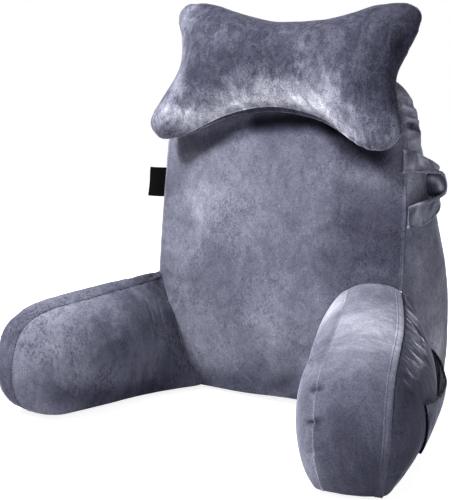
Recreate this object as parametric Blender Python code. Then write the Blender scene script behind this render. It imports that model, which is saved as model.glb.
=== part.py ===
"""Reading pillow with arms, in metres, +Z up, facing -Y, with X = 0 in the middle of the back.

Each filled piece is one closed body: two crowned panels that meet a gusset band along two seams.
"""
import bpy
import math
from mathutils import Vector

GAP = 0.0005            # clear space between two pieces that are sewn or pressed together
# the pieces are drawn from the foot of the front seam, and stand so that the origin is under the back's flat base
PLACE = Vector((0.0, -0.100, 0.0))

PLUSH = {"colour": (0.20, 0.205, 0.27), "roughness": 0.85}
TAB = {"colour": (0.02, 0.02, 0.025), "roughness": 0.7}

# back wedge
BACK_LEAN = 0.094       # how far the front seam runs back per metre of height
BACK_FRONT_CROWN = 0.030
BACK_REAR_CROWN = 0.026
BACK_BAND_BULGE = 0.010
BACK_SPINE = 0.12       # half the length of the crown's highest line
# corners of the front seam seen from the front: half width, height, corner radius
BACK_SIDE_CORNERS = (
    {"x": 0.2235, "z": 0.0, "radius": 0.028},
    {"x": 0.2245, "z": 0.26, "radius": 0.20},
    {"x": 0.211, "z": 0.514, "radius": 0.090},
)
# depth from the front seam to the back seam at a height
BACK_DEPTHS = (
    {"z": 0.00, "depth": 0.205},
    {"z": 0.10, "depth": 0.203},
    {"z": 0.20, "depth": 0.178},
    {"z": 0.32, "depth": 0.118},
    {"z": 0.43, "depth": 0.056},
    {"z": 0.53, "depth": 0.042},
)

# arms, each in its own frame: l runs forward along the arm, z up
ARM_HALF_BAND = 0.044
ARM_HALF_BASE = 0.034
ARM_CROWN = 0.046         # of the outer panel
ARM_INNER_CROWN = 0.036
ARM_SPINE = 0.10
ARM_BAND_BULGE = 0.009
# outline of an arm from the side. Its toe, the front corner on the floor, has a radius of its own on each arm
ARM_CORNERS = (
    {"l": -0.075, "z": 0.0, "radius": 0.004},
    {"l": 0.298, "z": 0.0, "radius": None},
    {"l": 0.320, "z": 0.070, "radius": 0.11},
    {"l": 0.292, "z": 0.147, "radius": 0.070},
    {"l": -0.075, "z": 0.193, "radius": 0.004},
)
ARM_MIDDLE = (0.130, 0.090)
ARM_FLARE = 0.038       # the inner panel's root runs this much further in at the floor than at the top
ARM_FLARE_REACH = 0.15
BASE_ROLL = 0.008       # height of the seams over the floor, where the base rolls up to them
# root_x is where the arm's middle line meets the plane of the front seam's foot.
# pinch narrows the band where it meets the back
ARM_SIDES = (
    {"name": "arm_left", "side": -1, "splay_deg": 15.0, "root_x": 0.194, "pinch": 0.046, "toe": 0.060},
    {"name": "arm_right", "side": 1, "splay_deg": 18.5, "root_x": 0.194, "pinch": 0.0, "toe": 0.032},
)

# neck cushion, in its own frame: u to the right, w up, both in the plane of its one seam
NECK_CENTRE = Vector((0.010, 0.016, 0.524))
NECK_LEAN_DEG = 19.0
NECK_ROLL_DEG = 1.8
NECK_CROWN = 0.054
NECK_SPINE = 0.12
NECK_POINTS = (
    {"u": 0.000, "w": 0.082},
    {"u": 0.080, "w": 0.088},
    {"u": 0.148, "w": 0.108},
    {"u": 0.196, "w": 0.112},
    {"u": 0.220, "w": 0.088},
    {"u": 0.208, "w": 0.042},
    {"u": 0.197, "w": 0.000},
    {"u": 0.207, "w": -0.044},
    {"u": 0.223, "w": -0.088},
    {"u": 0.196, "w": -0.116},
    {"u": 0.148, "w": -0.110},
    {"u": 0.080, "w": -0.085},
    {"u": 0.000, "w": -0.077},
)

# strap loop on the back's right side: its middle line, out from the side of the back and back from the front seam,
# the direction of its width, and half of that width
STRAP_HALF_THICK = 0.0013
STRAP_ROWS = (
    {"out": 0.0008, "back": 0.012, "z": 0.392, "width": (0.05, 0.20, 1.0), "half": 0.019},
    {"out": 0.0200, "back": 0.020, "z": 0.388, "width": (0.35, 0.35, 0.9), "half": 0.018},
    {"out": 0.0290, "back": 0.026, "z": 0.376, "width": (0.55, 0.70, 0.5), "half": 0.016},
    {"out": 0.0340, "back": 0.029, "z": 0.355, "width": (0.45, 0.95, 0.0), "half": 0.016},
    {"out": 0.0310, "back": 0.027, "z": 0.334, "width": (0.45, 0.80, -0.4), "half": 0.016},
    {"out": 0.0210, "back": 0.021, "z": 0.318, "width": (0.30, 0.45, -0.9), "half": 0.017},
    {"out": 0.0030, "back": 0.014, "z": 0.310, "width": (0.05, 0.20, -1.0), "half": 0.018},
)
STRAP_STEPS = 6         # sections for each row
STRAP_ACROSS = 4        # quads over the width

# open pocket on the right arm's outer side, in the arm's frame
POCKET_THICK = 0.002
POCKET_CLEAR = 0.0008
POCKET_BACK = 0.030
POCKET_FRONT = 0.235
POCKET_LOW = 0.020
POCKET_MOUTH_BACK = 0.125
POCKET_MOUTH_FRONT = 0.098
POCKET_GAPE = 0.017
POCKET_ALONG = 18
POCKET_UP = 8

# blank woven tab in the back's left seam
LABEL_ROOT = 0.2206
LABEL_WIDE = 0.031
LABEL_TALL = 0.047
LABEL_THICK = 0.0012
LABEL_Z = 0.345


def clear_scene():
    for old in list(bpy.data.objects):
        bpy.data.objects.remove(old, do_unlink=True)


def material(name, look):
    made = bpy.data.materials.new(name)
    made.use_nodes = True
    shader = made.node_tree.nodes["Principled BSDF"]
    shader.inputs["Base Color"].default_value = (*look["colour"], 1.0)
    shader.inputs["Roughness"].default_value = look["roughness"]
    return made


def mesh_object(name, points, faces, look):
    mesh = bpy.data.meshes.new(name)
    mesh.from_pydata([tuple(p) for p in points], [], faces)
    mesh.update()
    made = bpy.data.objects.new(name, mesh)
    made.location = PLACE
    made.data.materials.append(material(name + "_cloth", look))
    bpy.context.scene.collection.objects.link(made)
    return made


def even_loop(path, count):
    """A closed path of Vectors as count points at equal steps along it."""
    lengths = [0.0]
    for i, point in enumerate(path):
        lengths.append(lengths[-1] + (path[(i + 1) % len(path)] - point).length)
    spaced = []
    at = 0
    for i in range(count):
        want = lengths[-1] * i / count
        while lengths[at + 1] < want:
            at += 1
        share = (want - lengths[at]) / max(lengths[at + 1] - lengths[at], 1e-9)
        spaced.append(path[at].lerp(path[(at + 1) % len(path)], share))
    return spaced


def rounded_loop(corners, count, steps=10):
    """A closed outline through (x, z, radius) corners, each rounded by a curve that starts one radius away."""
    path = []
    for i, (x, z, radius) in enumerate(corners):
        corner = Vector((x, z))
        before = Vector(corners[i - 1][:2]) - corner
        after = Vector(corners[(i + 1) % len(corners)][:2]) - corner
        start = corner + before.normalized() * min(radius, 0.49 * before.length)
        end = corner + after.normalized() * min(radius, 0.49 * after.length)
        for k in range(steps + 1):
            t = k / steps
            path.append(start * (1 - t) ** 2 + corner * 2 * t * (1 - t) + end * t * t)
    return even_loop(path, count)


def smooth_loop(knots, count, steps=8):
    """A closed Catmull-Rom curve through the knots."""
    path = []
    for i in range(len(knots)):
        a, b, c, d = (knots[(i + k) % len(knots)] for k in (-1, 0, 1, 2))
        for k in range(steps):
            t = k / steps
            path.append(0.5 * (2 * b + (c - a) * t + (2 * a - 5 * b + 4 * c - d) * t ** 2
                               + (3 * b - 3 * c + d - a) * t ** 3))
    return even_loop(path, count)


def curve_row(rows, at):
    """A smooth value of every column at a row position, through the rows."""
    i = min(int(at), len(rows) - 2)
    t = at - i
    a, b, c, d = (rows[min(max(i + k, 0), len(rows) - 1)] for k in (-1, 0, 1, 2))
    return {key: 0.5 * (2 * b[key] + (c[key] - a[key]) * t
                        + (2 * a[key] - 5 * b[key] + 4 * c[key] - d[key]) * t ** 2
                        + (3 * b[key] - 3 * c[key] + d[key] - a[key]) * t ** 3) for key in b}


def crown_height(point, edge, middle, spine):
    """Share of the crown at a point on the way from the panel's middle line to its seam at edge."""
    def off_spine(p):
        along = min(1.0, max(-1.0, (p - middle).dot(spine) / spine.dot(spine)))
        return (p - middle - spine * along).length

    s = min(1.0, off_spine(point) / off_spine(edge))
    return (1.0 - s ** 2.4) ** 0.75


def filled_body(name, front, rear, middles, spine, crowns, bulges, ring_shares, band_rows):
    """Two crowned panels and the band between their seams. crowns and spine are Vectors, bulges one for each point."""
    middle_front, middle_rear = middles
    count = len(front)
    rings = []
    points = [middle_front + crowns[0]]
    for s in ring_shares:
        rings.append(len(points))
        for p in front:
            flat = middle_front.lerp(p, s)
            points.append(flat + crowns[0] * crown_height(flat, p, middle_front, spine))
    for k in range(1, band_rows):
        v = k / band_rows
        rings.append(len(points))
        swell = min(1.0, math.sin(math.pi * v) / math.sin(math.pi / 3))
        points += [a.lerp(b, v) + c * swell for a, b, c in zip(front, rear, bulges)]
    for s in reversed(ring_shares):
        if s == 1.0 and band_rows == 0:
            continue
        rings.append(len(points))
        for p in rear:
            flat = middle_rear.lerp(p, s)
            points.append(flat + crowns[1] * crown_height(flat, p, middle_rear, spine))
    points.append(middle_rear + crowns[1])
    faces = []
    for i in range(count):
        j = (i + 1) % count
        faces.append((0, rings[0] + i, rings[0] + j))
        for low, high in zip(rings, rings[1:]):
            if (points[low + i] - points[high + j]).length < (points[high + i] - points[low + j]).length:
                faces += [(low + i, high + i, high + j), (low + i, high + j, low + j)]
            else:
                faces += [(low + i, high + i, low + j), (high + i, high + j, low + j)]
        faces.append((rings[-1] + j, rings[-1] + i, len(points) - 1))
    return mesh_object(name, points, faces, PLUSH)


def out_of_loop(loop, i):
    """The outline's outward direction at a point, for a loop that runs anticlockwise."""
    along = loop[(i + 1) % len(loop)] - loop[i - 1]
    return Vector((along.y, -along.x)).normalized()


def back_y(share, z):
    """World Y for a share of the depth: below 0 is metres of front crown, above 1 metres of rear crown."""
    at = 0
    while at < len(BACK_DEPTHS) - 2 and BACK_DEPTHS[at + 1]["z"] < z:
        at += 1
    low, high = BACK_DEPTHS[at]["z"], BACK_DEPTHS[at + 1]["z"]
    depth = curve_row(BACK_DEPTHS, at + min(1.0, (z - low) / (high - low)))["depth"]
    return BACK_LEAN * z + min(share, 0.0) + min(max(share, 0.0), 1.0) * depth + max(share - 1.0, 0.0)


def build_back():
    right = [(row["x"], row["z"], row["radius"]) for row in BACK_SIDE_CORNERS]
    left = [(-row["x"], row["z"], row["radius"]) for row in reversed(BACK_SIDE_CORNERS)]
    loop = rounded_loop(right + left, 84)
    front = [Vector((p.x, 0.0, max(p.y, BASE_ROLL))) for p in loop]
    rear = [p + Vector((0.0, 1.0, 0.0)) for p in front]
    bulges = []
    for i, p in enumerate(loop):
        out = out_of_loop(loop, i)
        swell = Vector((out.x, 0.0, max(out.y, 0.0))) * BACK_BAND_BULGE * min(1.0, p.y / 0.05)
        bulges.append(swell - Vector((0.0, 0.0, max(0.0, BASE_ROLL - p.y))))
    middles = (Vector((0.0, 0.0, 0.25)), Vector((0.0, 1.0, 0.25)))
    crowns = (Vector((0.0, -BACK_FRONT_CROWN, 0.0)), Vector((0.0, BACK_REAR_CROWN, 0.0)))
    made = filled_body("backrest", front, rear, middles, Vector((0.0, 0.0, BACK_SPINE)),
                       crowns, bulges, (0.3, 0.55, 0.75, 0.88, 0.96, 1.0), 3)
    for vertex in made.data.vertices:
        vertex.co.y = back_y(vertex.co.y, vertex.co.z)
    return made


def arm_frame(side, splay_deg, root_x):
    """The arm's root on the floor beside the front seam's foot, its forward and its outward direction."""
    splay = math.radians(splay_deg)
    forward = Vector((side * math.sin(splay), -math.cos(splay), 0.0))
    outward = Vector((side * math.cos(splay), math.sin(splay), 0.0))
    return Vector((side * root_x, 0.0, 0.0)), forward, outward


def arm_outline(toe, count):
    return rounded_loop([(row["l"], row["z"], row["radius"] or toe) for row in ARM_CORNERS], count)


def arm_half_band(z):
    share = min(1.0, z / 0.10)
    return ARM_HALF_BASE + (ARM_HALF_BAND - ARM_HALF_BASE) * math.sin(0.5 * math.pi * share)


def arm_shaped(p, pinch):
    """A point of the plain arm form, at (forward, outward, up), with its root flared at the floor, pinched on top."""
    near = max(0.0, 1.0 - max(p.x, 0.0) / ARM_FLARE_REACH)
    high = min(1.0, p.z / 0.18)
    inner = min(1.0, max(0.0, 0.5 - 0.5 * p.y / ARM_HALF_BASE))
    return Vector((p.x, p.y - (ARM_FLARE * (1.0 - high) - pinch * high) * near ** 2 * inner, p.z))


def build_arm(name, side, splay_deg, root_x, pinch, toe):
    origin, forward, outward = arm_frame(side, splay_deg, root_x)
    loop = arm_outline(toe, 72)
    outer = [Vector((p.x, arm_half_band(p.y), max(p.y, BASE_ROLL))) for p in loop]
    inner = [Vector((p.x, -arm_half_band(p.y), max(p.y, BASE_ROLL))) for p in loop]
    bulges = []
    for i, p in enumerate(loop):
        out = out_of_loop(loop, i)
        swell = Vector((out.x, 0.0, max(out.y, 0.0))) * ARM_BAND_BULGE * min(1.0, p.y / 0.04)
        bulges.append(swell - Vector((0.0, 0.0, max(0.0, BASE_ROLL - p.y))))
    middles = [Vector((ARM_MIDDLE[0], across, ARM_MIDDLE[1])) for across in (ARM_HALF_BAND, -ARM_HALF_BAND)]
    crowns = (Vector((0.0, ARM_CROWN, 0.0)), Vector((0.0, -ARM_INNER_CROWN, 0.0)))
    made = filled_body(name, outer, inner, middles, Vector((ARM_SPINE, 0.0, 0.0)), crowns, bulges,
                       (0.25, 0.45, 0.62, 0.77, 0.89, 0.965, 1.0), 3)
    for vertex in made.data.vertices:
        p = arm_shaped(vertex.co, pinch)
        vertex.co = origin + forward * p.x + outward * p.y + Vector((0.0, 0.0, p.z))
    if side > 0:
        made.data.flip_normals()
    return made


def build_neck():
    right = [Vector((row["u"], row["w"])) for row in NECK_POINTS]
    left = [Vector((-row["u"], row["w"])) for row in NECK_POINTS[1:-1]]
    loop = smooth_loop(list(reversed(right)) + left, 88)
    lean = math.radians(NECK_LEAN_DEG)
    roll = math.radians(NECK_ROLL_DEG)
    facing = Vector((0.0, -math.cos(lean), math.sin(lean)))
    up = Vector((0.0, math.sin(lean), math.cos(lean)))
    across = Vector((1.0, 0.0, 0.0)) * math.cos(roll) - up * math.sin(roll)
    rise = Vector((1.0, 0.0, 0.0)) * math.sin(roll) + up * math.cos(roll)
    seam = [NECK_CENTRE + across * p.x + rise * p.y for p in loop]
    crowns = (facing * NECK_CROWN, -facing * NECK_CROWN)
    return filled_body("neck_pillow", seam, seam, (NECK_CENTRE, NECK_CENTRE), across * NECK_SPINE,
                       crowns, [], (0.25, 0.5, 0.7, 0.85, 0.95, 1.0), 0)


def grown_copy(source, by):
    """A hidden copy of a body, larger by the same amount all round, to cut its neighbours with."""
    cutter = source.copy()
    cutter.data = source.data.copy()
    cutter.name = "cut_" + source.name
    bpy.context.scene.collection.objects.link(cutter)
    normals = [vertex.normal.copy() for vertex in cutter.data.vertices]
    for vertex, normal in zip(cutter.data.vertices, normals):
        vertex.co += normal * by
    cutter.hide_render = True
    cutter.display_type = "WIRE"
    return cutter


def trim(body, cutter):
    cut = body.modifiers.new("trim", "BOOLEAN")
    cut.operation = "DIFFERENCE"
    cut.solver = "EXACT"
    cut.object = cutter


def sheet_object(name, grid, normals, half, look):
    """A closed sheet: a grid of points, thickened by half to both sides along the normals."""
    rows, columns = len(grid), len(grid[0])
    points = []
    for sign in (1, -1):
        points += [grid[i][j] + normals[i][j] * half * sign for i in range(rows) for j in range(columns)]
    below = rows * columns
    faces = []
    for i in range(rows - 1):
        for j in range(columns - 1):
            a = i * columns + j
            b, c, d = a + 1, a + columns + 1, a + columns
            faces += [(c, b, a), (d, c, a)]
            faces += [(below + a, below + b, below + c), (below + a, below + c, below + d)]
    edge = [j for j in range(columns)] + [i * columns + columns - 1 for i in range(1, rows)]
    edge += [(rows - 1) * columns + j for j in range(columns - 2, -1, -1)]
    edge += [i * columns for i in range(rows - 2, 0, -1)]
    for k, a in enumerate(edge):
        b = edge[(k + 1) % len(edge)]
        faces += [(a, b, below + b), (a, below + b, below + a)]
    return mesh_object(name, points, faces, look)


def grid_normals(grid):
    rows, columns = len(grid), len(grid[0])
    normals = []
    for i in range(rows):
        along = [grid[min(i + 1, rows - 1)][j] - grid[max(i - 1, 0)][j] for j in range(columns)]
        over = [grid[i][min(j + 1, columns - 1)] - grid[i][max(j - 1, 0)] for j in range(columns)]
        normals.append([a.cross(b).normalized() for a, b in zip(along, over)])
    return normals


def build_strap():
    grid = []
    rows = [{**row, "width": Vector(row["width"])} for row in STRAP_ROWS]
    for k in range((len(rows) - 1) * STRAP_STEPS + 1):
        row = curve_row(rows, k / STRAP_STEPS)
        edge = BACK_SIDE_CORNERS[1]["x"]
        middle = Vector((edge + row["out"], BACK_LEAN * row["z"] + row["back"], row["z"]))
        across = row["width"].normalized() * row["half"]
        grid.append([middle + across * (2 * j / STRAP_ACROSS - 1) for j in range(STRAP_ACROSS + 1)])
    return sheet_object("side_handle", grid, grid_normals(grid), STRAP_HALF_THICK, PLUSH)


def share_to_loop(loop, middle, p):
    """How far p lies on the way from the middle to the loop, and the loop's height there."""
    way = p - middle
    for i, a in enumerate(loop):
        b = loop[(i + 1) % len(loop)] - middle
        c = a - middle
        turn = c.x * b.y - c.y * b.x
        u = (way.x * b.y - way.y * b.x) / turn
        v = (c.x * way.y - c.y * way.x) / turn
        if u >= 0.0 and v >= 0.0 and u + v > 0.0:
            return u + v, (u * c.y + v * b.y) / (u + v) + middle.y
    return 0.0, middle.y


def outer_surface(loop, l, z):
    """A point of the arm's outer panel at (l, z), as (forward, outward, up)."""
    middle = Vector(ARM_MIDDLE)
    share, edge_z = share_to_loop(loop, middle, Vector((l, z)))
    across = ARM_HALF_BAND + (arm_half_band(edge_z) - ARM_HALF_BAND) * share
    height = crown_height(Vector((l, z)), middle + (Vector((l, z)) - middle) / share, middle, Vector((ARM_SPINE, 0.0)))
    return Vector((l, across + ARM_CROWN * height, z))


def build_pocket(side, splay_deg, root_x, toe):
    origin, forward, outward = arm_frame(side, splay_deg, root_x)
    loop = arm_outline(toe, 144)
    lying = []
    for i in range(POCKET_ALONG + 1):
        u = i / POCKET_ALONG
        l = POCKET_BACK + (POCKET_FRONT - POCKET_BACK) * u
        mouth = POCKET_MOUTH_BACK + (POCKET_MOUTH_FRONT - POCKET_MOUTH_BACK) * u
        lying.append([outer_surface(loop, l, POCKET_LOW + (mouth - POCKET_LOW) * j / POCKET_UP)
                      for j in range(POCKET_UP + 1)])
    normals = grid_normals(lying)
    if normals[POCKET_ALONG // 2][POCKET_UP // 2].y < 0:
        normals = [[-n for n in row] for row in normals]
    grid = []
    for i, row in enumerate(lying):
        across = math.sin(math.pi * i / POCKET_ALONG)
        grid.append([])
        for j, p in enumerate(row):
            open_share = across ** 0.8 * (j / POCKET_UP) ** 1.6
            moved = p + normals[i][j] * (POCKET_CLEAR + 0.5 * POCKET_THICK) + Vector((0, POCKET_GAPE * open_share, 0))
            grid[-1].append(origin + forward * moved.x + outward * moved.y + Vector((0.0, 0.0, moved.z)))
    return sheet_object("arm_pocket", grid, grid_normals(grid), 0.5 * POCKET_THICK, PLUSH)


def build_label():
    near = Vector((-LABEL_ROOT, BACK_LEAN * LABEL_Z, LABEL_Z))
    along_seam = Vector((0.0021, BACK_LEAN * LABEL_TALL, LABEL_TALL))
    grid = []
    for k in range(5):
        out = k / 4
        swing = Vector((-LABEL_WIDE * out, -0.003 * math.sin(math.pi * out), 0.0))
        grid.append([near + swing + Vector((-0.003 * out, 0.0, 0.0)) + along_seam * (v - 0.5) for v in (0.0, 0.5, 1.0)])
    return sheet_object("side_label", grid, grid_normals(grid), 0.5 * LABEL_THICK, TAB)


clear_scene()
backrest = build_back()
back_cutter = grown_copy(backrest, GAP)
for arm in ARM_SIDES:
    trim(build_arm(**arm), back_cutter)
trim(build_neck(), back_cutter)
build_strap()
build_pocket(ARM_SIDES[1]["side"], ARM_SIDES[1]["splay_deg"], ARM_SIDES[1]["root_x"], ARM_SIDES[1]["toe"])
build_label()
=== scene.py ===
"""Looks of the reading pillow with arms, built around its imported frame, in metres.

Each cushion is two crowned panels on even grids, with a gusset between them where it has one. It is swelled
as cloth, rounded, and drawn in along its seams.
"""
import math

import bmesh
import bpy
import numpy as np
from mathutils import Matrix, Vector, noise
from mathutils.bvhtree import BVHTree
from mathutils.kdtree import KDTree


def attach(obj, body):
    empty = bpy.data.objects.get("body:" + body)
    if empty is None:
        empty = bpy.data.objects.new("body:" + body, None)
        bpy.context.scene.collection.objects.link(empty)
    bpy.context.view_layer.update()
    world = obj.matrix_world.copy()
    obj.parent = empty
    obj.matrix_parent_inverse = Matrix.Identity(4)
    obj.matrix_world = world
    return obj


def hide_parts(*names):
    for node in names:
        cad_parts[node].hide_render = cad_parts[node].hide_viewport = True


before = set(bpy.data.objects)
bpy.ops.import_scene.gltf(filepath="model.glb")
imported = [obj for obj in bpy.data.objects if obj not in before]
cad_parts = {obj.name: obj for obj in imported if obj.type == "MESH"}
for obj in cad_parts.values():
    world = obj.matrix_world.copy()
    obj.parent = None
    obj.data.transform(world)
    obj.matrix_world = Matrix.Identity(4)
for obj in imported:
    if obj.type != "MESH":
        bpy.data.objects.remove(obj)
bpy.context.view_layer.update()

# camera fitted to the photograph
AZIMUTH = 33.0
ELEVATION = 8.5
DISTANCE = 1.5
AIM = Vector((-0.076, -0.100, 0.241))
FOCAL_PX = 921.0
WIDE_PX = 451.0
TALL_PX = 500.0
SENSOR_MM = 36.0

# soft studio light: brightness of the room, of the floor as the camera sees it, and the lamps
AMBIENT = 0.17
FLOOR_LIFT = 0.86
FLOOR_HALF = 6
LAMPS = (
    {"name": "key", "spot": (-1.05, -1.55, 2.2), "aim": (0, -0.1, 0.3), "size": 0.45, "power": 140},
    {"name": "top", "spot": (-0.2, 0.0, 2.2), "aim": (0, -0.1, 0.3), "size": 1.0, "power": 20},
    {"name": "fill", "spot": (1.8, -1.6, 0.8), "aim": (0, -0.1, 0.3), "size": 1.6, "power": 15,
     "colour": (0.92, 0.92, 1.0)},
)

# the pieces are drawn from the foot of the front seam and then moved by PLACE
PLACE = np.array((0.0, -0.100, 0.0))
BACK_LEAN = 0.094
BACK_FRONT_CROWN = 0.030
BACK_REAR_CROWN = 0.026
BACK_BAND_BULGE = 0.010
BACK_BULGE_FROM = 0.05
BACK_BASE_LIFT = 0.005
BACK_SIDE_CORNERS = (
    {"x": 0.2235, "z": 0.0, "radius": 0.028},
    {"x": 0.2245, "z": 0.26, "radius": 0.20},
    {"x": 0.211, "z": 0.514, "radius": 0.090},
)
BACK_DEPTHS = (
    {"z": 0.00, "depth": 0.210},
    {"z": 0.10, "depth": 0.213},
    {"z": 0.20, "depth": 0.189},
    {"z": 0.32, "depth": 0.118},
    {"z": 0.43, "depth": 0.045},
    {"z": 0.53, "depth": 0.029},
)

ARM_HALF_BAND = 0.044
ARM_HALF_BASE = 0.034
ARM_CROWN = 0.046
ARM_INNER_CROWN = 0.039
ARM_BAND_BULGE = 0.009
ARM_BULGE_FROM = 0.04
ARM_CORNERS = (
    {"l": -0.075, "z": 0.0, "radius": 0.004},
    {"l": "heel", "z": 0.0, "radius": None},
    {"l": "breast", "z": 0.070, "radius": 0.11},
    {"l": "crest", "z": None, "radius": 0.070},
    {"l": -0.075, "z": 0.193, "radius": 0.004},
)
ARM_REACH = {"breast": 0.320, "crest": 0.292}
ARM_FLARE_REACH = 0.15
ARM_WIDE_FROM = 0.10
ARM_ROOT_TALL = 0.18
ARM_WRAP_TALL = 0.06
ARM_NOSE_FROM = 0.24
ARM_STEEP_TALL = 0.13
BASE_ROLL = 0.008
# wrap is how far the inner panel runs over the shoulder and nose before its seam, and low the share of it at
# the base; rise and tuck lift the root's top and draw its outer side in, where it meets the back's seam
ARM_SIDES = (
    {"name": "arm_left", "side": -1, "short": 0.012, "splay_deg": 15.0, "root_x": 0.194, "pinch": 0.046,
     "toe": 0.046, "heel": 0.284, "brow": 0.158, "flare": 0.034, "slim": 0.45, "toe_in": 0.004, "wrap": 0.044,
     "low": 1.0, "top_steepness": 0.78, "rise": -0.006, "tuck": 0.0},
    {"name": "arm_right", "side": 1, "short": 0.0, "splay_deg": 18.5, "root_x": 0.194, "pinch": 0.0,
     "toe": 0.030, "heel": 0.298, "brow": 0.149, "flare": 0.038, "slim": 0.0, "toe_in": 0.0, "wrap": -0.003,
     "low": 0.2, "top_steepness": 0.60, "rise": 0.016, "tuck": 0.012},
)

NECK_CENTRE = np.array((0.010, 0.016, 0.524))
NECK_LEAN_DEG = 19.0
NECK_ROLL_DEG = 1.8
NECK_CROWN = 0.054
NECK_SAG = 1.15
NECK_UNDER_ROW = 3
# what its left lobes and waist sit further in and higher than the right ones, and its right lobes lower
NECK_LEFT = {"in": 0.009, "waist_in": 0.008, "top_out": 0.004, "up": 0.007}
NECK_RIGHT_DOWN = 0.003
NECK_POINTS = (
    {"u": 0.000, "w": 0.082},
    {"u": 0.080, "w": 0.088},
    {"u": 0.148, "w": 0.108},
    {"u": 0.196, "w": 0.112},
    {"u": 0.220, "w": 0.088},
    {"u": 0.208, "w": 0.042},
    {"u": 0.197, "w": 0.000},
    {"u": 0.207, "w": -0.044},
    {"u": 0.223, "w": -0.088},
    {"u": 0.196, "w": -0.116},
    {"u": 0.148, "w": -0.108},
    {"u": 0.080, "w": -0.078},
    {"u": 0.000, "w": -0.066},
)

# how far the front seam of the neck pillow's lower edge is raised, so that the underside shows
NECK_ARCH = (
    {"u": -0.20, "up": 0.0},
    {"u": -0.14, "up": 0.002},
    {"u": -0.09, "up": 0.005},
    {"u": -0.04, "up": 0.009},
    {"u": 0.01, "up": 0.011},
    {"u": 0.06, "up": 0.011},
    {"u": 0.10, "up": 0.011},
    {"u": 0.13, "up": 0.008},
    {"u": 0.16, "up": 0.002},
    {"u": 0.20, "up": 0.0},
)

# carry strap sewn into the right front seam: its front and rear edges from top to bottom, by pixel of the
# photograph and by how far each stands off the seam
STRAP_ROWS = (
    {"front": (408.0, 172.0), "front_out": 0.0010, "rear": (409.0, 148.0), "rear_out": 0.0010},
    {"front": (415.0, 172.0), "front_out": 0.0100, "rear": (416.0, 152.0), "rear_out": 0.0090},
    {"front": (423.0, 172.0), "front_out": 0.0210, "rear": (423.5, 157.0), "rear_out": 0.0130},
    {"front": (432.0, 172.3), "front_out": 0.0310, "rear": (432.0, 161.8), "rear_out": 0.0150},
    {"front": (438.0, 172.5), "front_out": 0.0360, "rear": (438.5, 167.5), "rear_out": 0.0180},
    {"front": (442.0, 173.0), "front_out": 0.0400, "rear": (432.0, 171.5), "rear_out": 0.0160},
    {"front": (445.3, 177.5), "front_out": 0.0430, "rear": (427.0, 175.0), "rear_out": 0.0142},
    {"front": (447.0, 185.5), "front_out": 0.0450, "rear": (427.0, 185.0), "rear_out": 0.0140},
    {"front": (445.8, 192.0), "front_out": 0.0430, "rear": (428.5, 194.0), "rear_out": 0.0142},
    {"front": (440.5, 196.0), "front_out": 0.0390, "rear": (438.0, 200.0), "rear_out": 0.0170},
    {"front": (434.0, 198.5), "front_out": 0.0310, "rear": (438.5, 209.5), "rear_out": 0.0190},
    {"front": (426.5, 201.3), "front_out": 0.0230, "rear": (431.0, 219.0), "rear_out": 0.0160},
    {"front": (417.0, 204.0), "front_out": 0.0110, "rear": (421.0, 225.5), "rear_out": 0.0110},
    {"front": (408.5, 207.2), "front_out": 0.0010, "rear": (408.0, 228.3), "rear_out": 0.0010},
)
STRAP = {"across": 25, "along": 10, "half": 0.0013, "wide": 0.036, "root_rows": 9, "root_clear": 0.0032,
         "hem": 0.0010, "hem_at": 0.93, "groove": 0.0006, "groove_at": 0.66}
# open pocket on the right arm's outer side, in the arm's frame
POCKET = {"back": 0.030, "front": 0.246, "low_back": 0.020, "low_front": 0.050, "mouth_back": 0.126,
          "mouth_front": 0.110, "gape": 0.012, "sag": 0.010, "half": 0.0010, "clear": 0.0012, "fold": 0.0012,
          "hem": 0.0006, "from": 0.3, "along": 61, "up": 31}
# blank woven tab in the left front seam; tip is what its free end reaches beyond its width, and lean how far
# the seam draws in along it
LABEL = {"root_x": 0.2206, "z": 0.344, "wide": 0.031, "tall": 0.050, "half": 0.0005, "tip": 0.003,
         "lean": 0.0021, "bow": 0.003, "ripple": 0.0006, "bead": 0.0018, "points": 25}

# edge length of each cushion's cloth grid before its subdivision
CELLS = {"backrest": 0.0055, "arm_left": 0.0047, "arm_right": 0.0047, "neck_pillow": 0.0043}
# panels of a cushion, and the faces of a sheet
FRONT, REAR, BAND = 0, 1, 2
OUTER, INNER = 0, 1
# the points below this height rest on the floor and are held while a cushion swells
HELD_BELOW = 0.012
# the gap that a cushion keeps to the back, and how far off the back its seam has to be to get a trim
NEIGHBOUR_GAP = 0.0004
TRIM_CLEAR = 0.0025
# gathers along a seam: the swings of their strength for each of theirs, how sharp they are, what the cloth
# swells between them, their least strength, what a turn of the seam adds to it, and how far scallops reach
GATHERS = {"coarse": 4.5, "sharp": 1.3, "swell": 0.25, "least": 0.35, "turn": 2.5, "scallop_reach": 0.006}
# stitches and relief start this high above the floor, and the relief is full after this fade
FLOOR_CLEAR = 0.004
RELIEF_FADE = 0.012
# how crisp the subdivision leaves a seam, from 0 to 1
SEAM_CREASE = 0.85
# how steeply each panel's crown rises from its rim, lower is steeper
BACK_STEEPNESS = 0.78
ARM_OUTER_STEEPNESS = 0.80
ARM_LOW_STEEPNESS = 0.45
NECK_STEEPNESS = 0.60
CROWN_ROUNDS = 1500
CLOTH = {"quality": 5, "mass": 0.25, "tension_stiffness": 12, "compression_stiffness": 12,
         "shear_stiffness": 4, "bending_stiffness": 0.6, "air_damping": 2.0, "use_pressure": True,
         "vertex_group_mass": "held", "pin_stiffness": 1.0}
CLOTH_STEPS = 20


# ---- curves and grids ----

def steps_along(path):
    """How far along an open path each of its points lies."""
    return np.r_[0.0, np.cumsum(np.linalg.norm(np.diff(path, axis=0), axis=1))]


def resampled(path, count):
    """An open path as count points at equal steps, its ends kept."""
    path = np.asarray(path, float)
    steps = steps_along(path)
    want = np.linspace(0.0, steps[-1], count)
    return np.stack([np.interp(want, steps, path[:, k]) for k in range(path.shape[1])], axis=1)


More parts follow.
